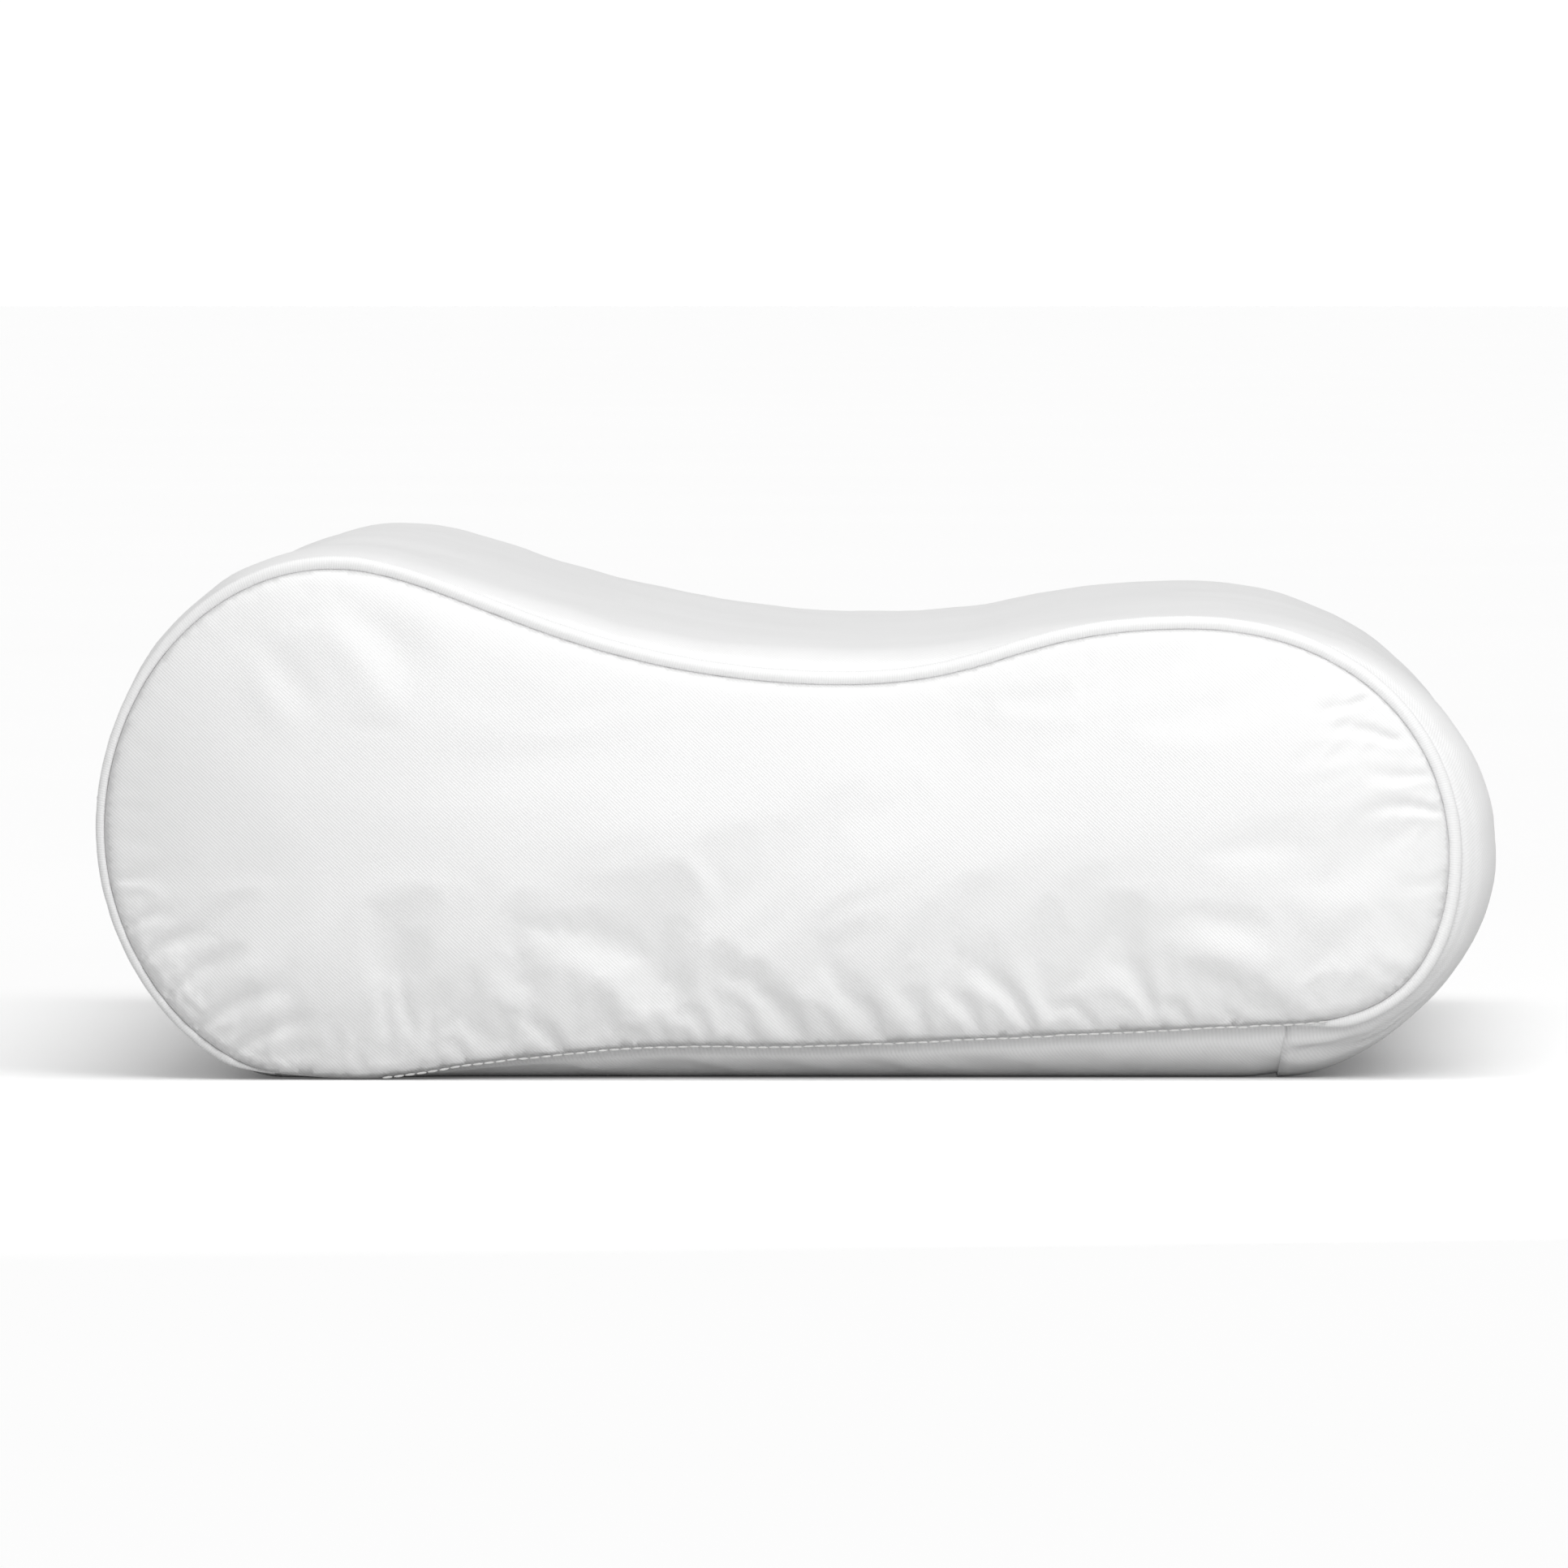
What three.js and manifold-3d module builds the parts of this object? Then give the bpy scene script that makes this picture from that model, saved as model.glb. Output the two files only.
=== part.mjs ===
// Lumbar support cushion: a contoured foam core in a knit liner, inside a zipped satin-twill cover.
// The cover is three wrap panels round the contour, two end panels, a piped seam at each end, and a
// coil zip along the rear wall. Millimetres. X runs from the rear wall to the nose, Y along the
// cushion's width with the front end panel at -Y, Z up. The origin is the middle of the flat underside.
import * as THREE from "three";
import { mergeVertices } from "three/addons/utils/BufferGeometryUtils.js";
import Module from "manifold-3d";

const wasm = await Module();
wasm.setup();

// ---- Overall sizes ----
const WIDTH = 500; // crown of one end panel to the crown of the other, along Y
const DEPTH = 314; // rear wall to nose, along X
const HIGH_LOBE = 118.5; // top of the high lobe above the surface it stands on
const LOW_LOBE = 104.5;
const DIP = 96.5; // lowest line of the hollow between the lobes

// ---- Where the contour's key points lie ----
const HIGH_LOBE_FROM_REAR = 53;
const LOW_LOBE_FROM_NOSE = 69;
const DIP_PLACE = 0.62; // share of the way from the high lobe's crest to the low lobe's
const REAR_WALL_WIDEST = 60; // height at which the rear wall stands out most, where the zip runs
const NOSE_WIDEST = 50;
const HEEL_FROM_REAR = 41; // start of the flat underside
const TOE_FROM_NOSE = 49; // end of the flat underside

// ---- How far each end panel's seam lies inside the full contour ----
const SEAM_IN = {
  rear: 1.7,
  high: 3.8,
  dip: 7.7,
  low: 3.2,
  nose: 10.5,
  toe: 12.5,
  underToe: 8.5,
  underHeel: 5.5,
};
const SEAM_DIP_SHIFT = 4; // the seam's dip is this much nearer the high lobe than the wrap's
const SEAM_REAR_DROP = 4; // and its widest point at the rear this much lower
const SEAM_TOE_SHIFT = 2; // and its toe this much further forward
const CORNER_DEPTH = 18; // length over which the wrap swells from the seam to the full contour
const CROWN = 6; // how far the end panels stand out in their middle

// ---- Cloth ----
const COVER = 0.8; // cover fabric
const LINER = 0.6; // knit liner
const GAP = 0.3; // between any two pieces that touch
const FOAM_EASE = 0.3; // foam to liner
const SEAM_GAP = 0.3; // between two wrap panels sewn edge to edge
const UNDER_EASE = 1.1; // cover to liner under the foam, where its weight presses them together

// ---- Piping ----
const PIPING_R = 1.6;
const PIPING_WALL = 0.4;
const CORD_EASE = 0.35; // round the cord in its sleeve
const PIPING_STANDS_OUT = 0.6; // piping's centre line outside the seam line
const PIPING_OFF_FLOOR = 0.2; // clear of the surface below the heel
const PIPING_STEPS = 44;
const PIPING_SIDES = 8;

// ---- Zip ----
const ZIP_FROM_END = 41; // from an end panel's crown to the nearest stop
const ZIP_MOUTH_END = 6; // from a stop to the end of the mouth
const HEM = 1; // folded edge of the cover beside the mouth
const TAPE = 0.5;
const TAPE_WIDTH = 16;
const TAPE_PAST_STOP = 9;
const COIL_WIDTH = 2.3;
const COIL_HEIGHT = 1.5;
const CHAIN_SLOT = 1.4; // between the two coils, where the slider's post runs
const STOP_LENGTH = 3;

// ---- Zip slider ----
const SLIDER_LENGTH = 12;
const SLIDER_FLARE = 0.8; // how much wider it is at the leading end
const SLIDER_CLEARANCE = 0.6; // slider to the folded edges of the cover
const SLIDER_PLATE = 0.8;
const SLIDER_POST = 0.8;
const SLIDER_POST_LENGTH = 5;
const SLIDER_POST_SETBACK = 1; // from the leading end
const SLIDER_FLANGE = 0.7; // wall beside the coils
const BAIL_LENGTH = 9;
const BAIL_HEIGHT = 2.8;
const BAIL_WALL = 0.9;
const BAIL_WIDTH = 1.8;

// ---- Pull tab ----
const TAB_LENGTH = 24;
const TAB_WIDTH = 6.4;
const TAB_WAIST = 5.2;
const TAB_THICK = 1.2;
const TAB_WINDOW_WIDTH = 2.6;
const TAB_WINDOW_END = 6; // from the tab's hinge line to the far end of its window
const TAB_GRIP_HOLE = 7; // length of the slot in the tab's free end

// ---- Care label ----
const LABEL_WIDTH = 22;
const LABEL_LENGTH = 38;
const LABEL = 0.4;
const LABEL_ABOVE_HEEL = 34; // along the contour, from the heel seam to the label's lower edge

// ---- How finely the shapes are faceted ----
const STEPS_PER_CURVE = [5, 6, 5, 5, 5, 4, 5];
const CORNER_STEPS = 3;
const CROWN_RINGS = [0.4, 0.72, 0.9];

// ---- Levels and widths that follow from the sizes above ----
const CORD_R = PIPING_R - PIPING_WALL - CORD_EASE;
const ZIP_HALF = WIDTH / 2 - ZIP_FROM_END; // from the middle to a stop
const SLIDER_NARROW = CHAIN_SLOT + 2 * (COIL_WIDTH + GAP + SLIDER_FLANGE);
const SLIDER_WIDTH = SLIDER_NARROW + SLIDER_FLARE;
const ZIP_MOUTH = SLIDER_WIDTH + 2 * SLIDER_CLEARANCE; // between the folded edges of the cover
const SEAM_Y = WIDTH / 2 - CROWN;
const PIPING_Y = SEAM_Y - COVER - GAP - PIPING_R;
const WRAP_Y = PIPING_Y - PIPING_R - GAP;
const LINER_END_Y = SEAM_Y - COVER - GAP;
const LINER_SLEEVE_Y = LINER_END_Y - LINER - GAP;
const FOAM_END_Y = LINER_END_Y - LINER - FOAM_EASE;
const TAPE_AT = COVER + GAP;
const LINER_AT_UNDERSIDE = COVER + UNDER_EASE;
const REAR_X = -DEPTH / 2;

// ---- The contour: seven cubic curves, clockwise seen from the front ----
// Keys in order: rear wall, high lobe, dip, low lobe, nose, toe, heel. A station is a key's number
// plus the share of the way to the next one, so 0 is the zip line and 3.5 is on the way to the nose.
const TOE = 5;
const HEEL = 6;
const KEYS = 7;
// Length of each curve's two handles, as shares of the step between its keys.
const ROUND = {
  rearUp: 0.53,
  highIn: 0.56,
  highOut: 0.22,
  dipIn: 0.54,
  dipOut: 0.44,
  lowIn: 0.5,
  lowOut: 0.62,
  noseUp: 0.55,
  base: 0.36,
  heelOut: 0.47,
  rearDown: 0.51,
};

const highX = REAR_X + HIGH_LOBE_FROM_REAR;
const lowX = DEPTH / 2 - LOW_LOBE_FROM_NOSE;
const BODY = {
  rearX: REAR_X,
  rearZ: REAR_WALL_WIDEST,
  highX,
  highZ: HIGH_LOBE,
  dipX: highX + DIP_PLACE * (lowX - highX),
  dipZ: DIP,
  lowX,
  lowZ: LOW_LOBE,
  noseX: DEPTH / 2,
  noseZ: NOSE_WIDEST,
  toeX: DEPTH / 2 - TOE_FROM_NOSE,
  toeZ: 0,
  underToeZ: 0,
  underHeelZ: 0,
  heelX: REAR_X + HEEL_FROM_REAR,
  heelZ: 0,
  noseFullness: 0.46,
};
const SEAM = {
  ...BODY,
  rearX: BODY.rearX + SEAM_IN.rear,
  rearZ: BODY.rearZ - SEAM_REAR_DROP,
  highZ: BODY.highZ - SEAM_IN.high,
  dipX: BODY.dipX - SEAM_DIP_SHIFT,
  dipZ: BODY.dipZ - SEAM_IN.dip,
  lowZ: BODY.lowZ - SEAM_IN.low,
  noseX: BODY.noseX - SEAM_IN.nose,
  toeX: BODY.toeX + SEAM_TOE_SHIFT,
  toeZ: SEAM_IN.toe,
  underToeZ: SEAM_IN.underToe,
  underHeelZ: SEAM_IN.underHeel,
  heelZ: PIPING_OFF_FLOOR + PIPING_R + PIPING_STANDS_OUT,
  noseFullness: 0.65,
};

function mix(a, b, share) {
  const mixed = {};
  for (const key of Object.keys(a)) mixed[key] = a[key] + (b[key] - a[key]) * share;
  return mixed;
}

// The seven curves of a profile, as THREE.CubicBezierCurve in the X-Z plane.
function curvesOf(p) {
  const v = (x, z) => new THREE.Vector2(x, z);
  const curve = (...points) => new THREE.CubicBezierCurve(...points);
  const key = [
    v(p.rearX, p.rearZ),
    v(p.highX, p.highZ),
    v(p.dipX, p.dipZ),
    v(p.lowX, p.lowZ),
    v(p.noseX, p.noseZ),
    v(p.toeX, p.toeZ),
    v(p.heelX, p.heelZ),
  ];
  const rise = p.highZ - p.rearZ;
  const back = p.highX - p.rearX;
  const fall = p.dipX - p.highX;
  const climb = p.lowX - p.dipX;
  const brow = p.noseX - p.lowX;
  const chin = p.noseX - p.toeX;
  const base = (p.toeX - p.heelX) * ROUND.base;
  const heel = p.heelX - p.rearX;
  return [
    curve(
      key[0],
      v(p.rearX, p.rearZ + ROUND.rearUp * rise),
      v(p.highX - ROUND.highIn * back, p.highZ),
      key[1],
    ),
    curve(key[1], v(p.highX + ROUND.highOut * fall, p.highZ), v(p.dipX - ROUND.dipIn * fall, p.dipZ), key[2]),
    curve(key[2], v(p.dipX + ROUND.dipOut * climb, p.dipZ), v(p.lowX - ROUND.lowIn * climb, p.lowZ), key[3]),
    curve(
      key[3],
      v(p.lowX + ROUND.lowOut * brow, p.lowZ),
      v(p.noseX, p.noseZ + ROUND.noseUp * (p.lowZ - p.noseZ)),
      key[4],
    ),
    curve(
      key[4],
      v(p.noseX, p.noseZ - p.noseFullness * (p.noseZ - p.toeZ)),
      v(p.toeX + p.noseFullness * chin, p.toeZ),
      key[5],
    ),
    curve(key[5], v(p.toeX - base, p.underToeZ), v(p.heelX + base, p.underHeelZ), key[6]),
    curve(
      key[6],
      v(p.heelX - ROUND.heelOut * heel, p.heelZ),
      v(p.rearX, p.rearZ - ROUND.rearDown * (p.rearZ - p.heelZ)),
      key[0],
    ),
  ];
}

// The point of a profile at a station, moved inwards by a depth (outwards if it is negative).
function pointAt(curves, station, depth) {
  const wrapped = ((station % KEYS) + KEYS) % KEYS;
  const index = Math.floor(wrapped);
  const share = wrapped - index;
  const point = curves[index].getPoint(share);
  const along = curves[index].getTangent(share);
  return new THREE.Vector2(point.x + along.y * depth, point.y - along.x * depth);
}

// The station a distance past a key, or before it if the distance is negative.
function stationFrom(curves, key, distance) {
  const index = distance < 0 ? (key + KEYS - 1) % KEYS : key % KEYS;
  const curve = curves[index];
  const walked = distance < 0 ? curve.getLength() + distance : distance;
  const share = curve.getUtoTmapping(0, walked);
  return distance < 0 ? key - 1 + share : key + share;
}

// The profile at a distance from the middle: the seam at the ends, swelling to the full contour.
function curvesAt(y) {
  const reach = THREE.MathUtils.clamp((WRAP_Y - Math.abs(y)) / CORNER_DEPTH, 0, 1);
  const swell = Math.sqrt(1 - (1 - reach) ** 2);
  return curvesOf(mix(SEAM, BODY, swell));
}

const bodyCurves = curvesOf(BODY);
const seamCurves = curvesOf(SEAM);

// Depths behind the zip, where the rear wall falls away from the slider's flat inner plate.
const sliderEdge = stationFrom(bodyCurves, KEYS, -SLIDER_WIDTH / 2);
const WALL_FALL = pointAt(bodyCurves, sliderEdge, 0).x - REAR_X;
const INNER_PLATE_AT = TAPE_AT + TAPE + WALL_FALL + GAP;
const LINER_AT = INNER_PLATE_AT + SLIDER_PLATE + GAP;

// Every station from one to another, with the facets' own steps in between, save any that would
// leave a sliver beside either end.
const SLIVER = 0.06;
function stations(from, to) {
  const list = [from];
  for (let key = Math.floor(from); key < to; key += 1) {
    const steps = STEPS_PER_CURVE[key % KEYS];
    for (let i = 0; i < steps; i += 1) {
      const station = key + i / steps;
      if (station > from + SLIVER && station < to - SLIVER) list.push(station);
    }
  }
  list.push(to);
  return list;
}

// Distances along Y of the cross-sections, from one end of the wrap to the other.
function wrapSections(extra = []) {
  const half = [0];
  for (let i = 0; i <= CORNER_STEPS; i += 1) {
    const turn = (i / CORNER_STEPS) * (Math.PI / 2);
    half.push(WRAP_Y - CORNER_DEPTH * (1 - Math.cos(turn)));
  }
  half.push(...extra);
  const both = new Set(half.flatMap((y) => [y, -y]).map((y) => y + 0));
  return [...both].sort((a, b) => a - b);
}

// ---- Mesh building ----

// A mesh from a list of corners and faces, turned so that its faces point out.
function closedMesh(corners, faces) {
  let volume = 0;
  for (const [a, b, c] of faces) {
    volume += corners[a].dot(new THREE.Vector3().crossVectors(corners[b], corners[c])) / 6;
  }
  const turned = volume < 0 ? faces.map(([a, b, c]) => [a, c, b]) : faces;
  const geometry = new THREE.BufferGeometry().setFromPoints(corners);
  geometry.setIndex(turned.flat());
  geometry.computeVertexNormals();
  return geometry;
}

// Two triangles for each cell of a grid of corner numbers.
function gridFaces(rows, closed) {
  const faces = [];
  for (let j = 0; j + 1 < rows.length; j += 1) {
    const count = rows[j].length;
    for (let i = 0; i < (closed ? count : count - 1); i += 1) {
      const k = (i + 1) % count;
      faces.push([rows[j][i], rows[j + 1][i], rows[j + 1][k]]);
      faces.push([rows[j][i], rows[j + 1][k], rows[j][k]]);
    }
  }
  return faces;
}

// A sheet of cloth from its outer and inner faces, each a grid of points: rows along the width,
// columns round the contour. A closed sheet is a sleeve that is open at both ends.
function sheet(outer, inner, closed = false) {
  const corners = [...outer.flat(), ...inner.flat()];
  const columns = outer[0].length;
  const number = (grid, j, i) => (grid * outer.length + j) * columns + i;
  const rows = (grid) => outer.map((row, j) => row.map((_, i) => number(grid, j, i)));
  const flip = (faces) => faces.map(([a, b, c]) => [a, c, b]);
  const out = rows(0);
  const inn = rows(1);
  const last = outer.length - 1;
  const faces = [
    ...gridFaces(out, closed),
    ...flip(gridFaces(inn, closed)),
    ...flip(gridFaces([out[0], inn[0]], closed)),
    ...gridFaces([out[last], inn[last]], closed),
  ];
  if (!closed) {
    const edge = (i) => [out.map((row) => row[i]), inn.map((row) => row[i])];
    faces.push(...gridFaces(edge(0), false));
    faces.push(...flip(gridFaces(edge(columns - 1), false)));
  }
  return closedMesh(corners, faces);
}

// A solid through a stack of closed rings, with a point closing each end.
function stack(rings, firstPoint, lastPoint) {
  const count = rings[0].length;
  const corners = [firstPoint, ...rings.flat(), lastPoint];
  const rows = rings.map((ring, j) => ring.map((_, i) => 1 + j * count + i));
  const end = corners.length - 1;
  const faces = gridFaces(rows, true);
  for (let i = 0; i < count; i += 1) {
    const k = (i + 1) % count;
    faces.push([0, rows[0][i], rows[0][k]]);
    faces.push([end, rows[rows.length - 1][k], rows[rows.length - 1][i]]);
  }
  return closedMesh(corners, faces);
}

// A ring of points round the contour at a distance along Y.
function ring(curves, list, depthAt, y) {
  return list.map((station) => {
    const p = pointAt(curves, station, depthAt(station));
    return new THREE.Vector3(p.x, y, p.y);
  });
}

// Rings that draw an outline in to its middle over a crown, from the rim inwards.
function crownRings(outline, rimY, side) {
  const middle = new THREE.Vector3();
  outline.forEach((p) => middle.add(p));
  middle.divideScalar(outline.length);
  middle.y = side * rimY;
  const rings = CROWN_RINGS.toReversed().map((share) =>
    outline.map((p) => {
      const q = middle.clone().lerp(p, share);
      q.y = side * (rimY + CROWN * (1 - share ** 2));
      return q;
    }),
  );
  const rim = outline.map((p) => new THREE.Vector3(p.x, side * rimY, p.z));
  middle.y = side * (rimY + CROWN);
  return { rings: [rim, ...rings], middle };
}

const root = new THREE.Group();

function add(name, geometry, material) {
  const mesh = new THREE.Mesh(geometry, material);
  mesh.name = name;
  root.add(mesh);
}

// ---- Materials ----
const cloth = (color, roughness) => new THREE.MeshStandardMaterial({ color, roughness, metalness: 0 });
const satin = cloth(0xf3f3f2, 0.55);
const knit = cloth(0xdedfe0, 0.9);
const foam = cloth(0xf2ead2, 0.95);
const cord = cloth(0xe9e6dc, 0.9);
const tapeCloth = cloth(0xececea, 0.8);
const nylon = cloth(0xf6f6f4, 0.35);
const metal = new THREE.MeshStandardMaterial({ color: 0xc9cbcd, roughness: 0.3, metalness: 1 });
const labelSatin = cloth(0xfafafa, 0.4);

// ---- Wrap panels ----

// A strip of cloth over the sections at ys; stationsAt gives each section's own stations.
function strip(stationsAt, ys, outerDepth, innerDepth) {
  const face = (depth) => ys.map((y) => ring(curvesAt(y), stationsAt(y), () => depth, y));
  return sheet(face(outerDepth), face(innerDepth));
}

// The stations of a wrap panel. The lines along each of its edges lie at set distances from a key,
// and the facets' own steps fill the rest.
function between(fromKey, fromDistances, toKey, toDistances) {
  const stepsFrom = stationFrom(bodyCurves, fromKey, fromDistances(0).at(-1));
  const stepsTo = stationFrom(bodyCurves, toKey, toDistances(0).at(0));
  const steps = stations(stepsFrom, stepsTo).slice(1, -1);
  return (y) => {
    const curves = curvesAt(y);
    const first = fromDistances(y).map((distance) => stationFrom(curves, fromKey, distance));
    const last = toDistances(y).map((distance) => stationFrom(curves, toKey, distance));
    return [...first, ...steps, ...last];
  };
}

// Evenly spaced stations over a stretch of the contour, measured from a key.
function stretch(key, from, to) {
  const steps = 4;
  return (y) => {
    const curves = curvesAt(y);
    return Array.from({ length: steps + 1 }, (_, i) =>
      stationFrom(curves, key, THREE.MathUtils.lerp(from, to, i / steps)),
    );
  };
}

// The wrap's lines beside the zip: its edge, which parts to a mouth that closes past its ends, then
// its hem and its stitching to the tape's far edge.
const MOUTH_Y = ZIP_HALF + ZIP_MOUTH_END;
const MOUTH_CLOSES = 2;
const HEM_AT = ZIP_MOUTH / 2 + HEM;
function zipLines(y) {
  return [Math.abs(y) <= MOUTH_Y ? ZIP_MOUTH / 2 : SEAM_GAP / 2, HEM_AT, TAPE_WIDTH];
}

function addWrap() {
  const mouth = wrapSections([MOUTH_Y, MOUTH_Y + MOUTH_CLOSES]);
  const before = () => [-SEAM_GAP / 2];
  const after = () => [SEAM_GAP / 2];
  const belowZip = (y) => zipLines(y).map((distance) => -distance).toReversed();
  add("top_panel", strip(between(0, zipLines, TOE, before), mouth, 0, COVER), satin);
  add("base_panel", strip(between(TOE, after, HEEL, before), wrapSections(), 0, COVER), satin);
  add("rear_panel", strip(between(HEEL, after, KEYS, belowZip), mouth, 0, COVER), satin);
}

// ---- End panels, liner and foam ----

// Depth of a layer inside the contour: less under the foam, where its weight presses it down.
function layerDepth(side, under) {
  return (station) => {
    const wrapped = station % KEYS;
    let press = 0;
    if (wrapped > TOE - 1) press = THREE.MathUtils.smoothstep(wrapped, TOE - 1, TOE);
    if (wrapped > HEEL) press = 1 - THREE.MathUtils.smoothstep(wrapped, HEEL, KEYS);
    return THREE.MathUtils.lerp(side, under, press);
  };
}

const allStations = stations(0, KEYS).slice(0, -1);

// A crowned plate of cloth that closes an end.
function endPlate(depthAt, rimY, thickness, side) {
  const outline = ring(seamCurves, allStations, depthAt, 0);
  const outer = crownRings(outline, rimY, side);
  const inner = crownRings(outline, rimY - thickness, side);
  return stack([...outer.rings.toReversed(), ...inner.rings], outer.middle, inner.middle);
}

function addLinerSleeve() {
  const ys = [-LINER_SLEEVE_Y, ...wrapSections(), LINER_SLEEVE_Y];
  const face = (extra) => {
    const depthAt = layerDepth(LINER_AT + extra, LINER_AT_UNDERSIDE + extra);
    return ys.map((y) => ring(curvesAt(y), allStations, depthAt, y));
  };
  add("liner_sleeve", sheet(face(0), face(LINER), true), knit);
}

function addFoam() {
  const thick = LINER + FOAM_EASE;
  const depthAt = layerDepth(LINER_AT + thick, LINER_AT_UNDERSIDE + thick);
  const near = crownRings(ring(seamCurves, allStations, depthAt, 0), FOAM_END_Y, -1);
  const far = crownRings(ring(seamCurves, allStations, depthAt, 0), FOAM_END_Y, 1);
  const between = wrapSections().map((y) => ring(curvesAt(y), allStations, depthAt, y));
  const rings = [...near.rings.toReversed(), ...between, ...far.rings];
  add("foam_core", stack(rings, near.middle, far.middle), foam);
}

// ---- Piping ----

// The piping's line: outside the seam, from the heel up over both lobes and round the nose to the toe.
function pipingPath(y) {
  const from = stationFrom(seamCurves, HEEL, PIPING_R);
  const to = stationFrom(seamCurves, TOE, -PIPING_R) + KEYS;
  const points = ring(seamCurves, stations(from, to), () => -PIPING_STANDS_OUT, y);
  return new THREE.CatmullRomCurve3(points);
}

function addPiping(end, side) {
  const path = pipingPath(side * PIPING_Y);
  const along = { steps: PIPING_STEPS, extrudePath: path, bevelEnabled: false };
  const circle = (radius) => {
    const turn = (i) => ((i + 0.5) / PIPING_SIDES) * 2 * Math.PI;
    return Array.from(
      { length: PIPING_SIDES },
      (_, i) => new THREE.Vector2(radius * Math.cos(turn(i)), radius * Math.sin(turn(i))),
    );
  };
  const sleeve = new THREE.Shape(circle(PIPING_R));
  sleeve.holes.push(new THREE.Path(circle(PIPING_R - PIPING_WALL)));
  add(`piping_sleeve_${end}`, new THREE.ExtrudeGeometry(sleeve, along), satin);
  add(`piping_cord_${end}`, new THREE.ExtrudeGeometry(new THREE.Shape(circle(CORD_R)), along), cord);
}

function addEnds() {
  for (const [end, side] of [["front", -1], ["rear", 1]]) {
    add(`end_panel_${end}`, endPlate(() => 0, SEAM_Y, COVER, side), satin);
    const linerDepth = layerDepth(LINER_AT, LINER_AT_UNDERSIDE);
    add(`liner_end_${end}`, endPlate(linerDepth, LINER_END_Y, LINER, side), knit);
    addPiping(end, side);
  }
}

// ---- Zip ----

const Y_AXIS = new THREE.Vector3(0, 1, 0);
const Z_AXIS = new THREE.Vector3(0, 0, 1);
const OUTWARD = new THREE.Vector3(-1, 0, 0);
const STANDING = new THREE.Matrix4().makeBasis(Y_AXIS, Z_AXIS, OUTWARD.clone().negate());
const SIDEWAYS = new THREE.Matrix4().makeBasis(Y_AXIS, OUTWARD, Z_AXIS);

// An extrusion with square edges.
const PLAIN = { bevelEnabled: false, curveSegments: 4 };

// A plate drawn in the Y-Z plane of the rear wall, between two depths inside its outer face.
function wallPlate(shape, outerDepth, innerDepth) {
  const thickness = innerDepth - outerDepth;
  const geometry = new THREE.ExtrudeGeometry(shape, { depth: thickness, ...PLAIN });
  geometry.applyMatrix4(STANDING);
  return geometry.translate(REAR_X + outerDepth, 0, REAR_WALL_WIDEST);
}

// A rectangle with its corners rounded, from its lowest and highest Y and Z.
function roundedRectangle(y0, y1, z0, z1, radius) {
  const shape = new THREE.Shape();
  shape.moveTo(y0 + radius, z0);
  shape.lineTo(y1 - radius, z0);
  shape.absarc(y1 - radius, z0 + radius, radius, -Math.PI / 2, 0);
  shape.lineTo(y1, z1 - radius);
  shape.absarc(y1 - radius, z1 - radius, radius, 0, Math.PI / 2);
  shape.lineTo(y0 + radius, z1);
  shape.absarc(y0 + radius, z1 - radius, radius, Math.PI / 2, Math.PI);
  shape.lineTo(y0, z0 + radius);
  shape.absarc(y0 + radius, z0 + radius, radius, Math.PI, 1.5 * Math.PI);
  return shape;
}

const COIL_TOP = TAPE_AT - GAP - COIL_HEIGHT; // depth of the coils' outer face
const PLATE_TOP = COIL_TOP - GAP - SLIDER_PLATE; // depth of the slider's outer face
const SLIDER_Y = ZIP_HALF - GAP - SLIDER_LENGTH / 2; // slider's middle with the zip closed
const COIL_END = ZIP_HALF + GAP;

// A tape bends along the lines of the wrap panel that it is sewn to, so that the two stay parallel.
function tapeStations(key, side) {
  const lines = [CHAIN_SLOT / 2, HEM_AT, TAPE_WIDTH];
  return (y) => lines.map((distance) => stationFrom(curvesAt(y), key, side * distance)).sort((a, b) => a - b);
}

function addTapes() {
  const reach = ZIP_HALF + TAPE_PAST_STOP;
  const ys = [-reach, 0, reach];
  add("zip_tape_lower", strip(tapeStations(KEYS, -1), ys, TAPE_AT, TAPE_AT + TAPE), tapeCloth);
  add("zip_tape_upper", strip(tapeStations(0, 1), ys, TAPE_AT, TAPE_AT + TAPE), tapeCloth);
}

function addCoilsAndStops() {
  const inner = CHAIN_SLOT / 2;
  const outer = inner + COIL_WIDTH;
  const corner = COIL_HEIGHT / 3;
  const bottom = TAPE_AT - GAP;
  for (const [name, low, high] of [["lower", -outer, -inner], ["upper", inner, outer]]) {
    const coil = roundedRectangle(-ZIP_HALF, ZIP_HALF, low, high, corner);
    add(`zip_coil_${name}`, wallPlate(coil, COIL_TOP, bottom), nylon);
    const stop = roundedRectangle(COIL_END, COIL_END + STOP_LENGTH, low, high, corner);
    add(`zip_top_stop_${name}`, wallPlate(stop, COIL_TOP - SLIDER_PLATE, bottom), metal);
  }
  const last = roundedRectangle(-COIL_END - STOP_LENGTH, -COIL_END, -outer, outer, corner);
  add("zip_bottom_stop", wallPlate(last, COIL_TOP - SLIDER_PLATE, bottom), metal);
}

// A closed three.js geometry as a manifold solid, and back.
function solidOf(geometry) {
  const bare = geometry.clone();
  bare.deleteAttribute("normal");
  bare.deleteAttribute("uv");
  const merged = mergeVertices(bare, 1e-4);
  return new wasm.Manifold(
    new wasm.Mesh({
      numProp: 3,
      vertProperties: merged.attributes.position.array,
      triVerts: new Uint32Array(merged.index.array),
    }),
  );
}

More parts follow.
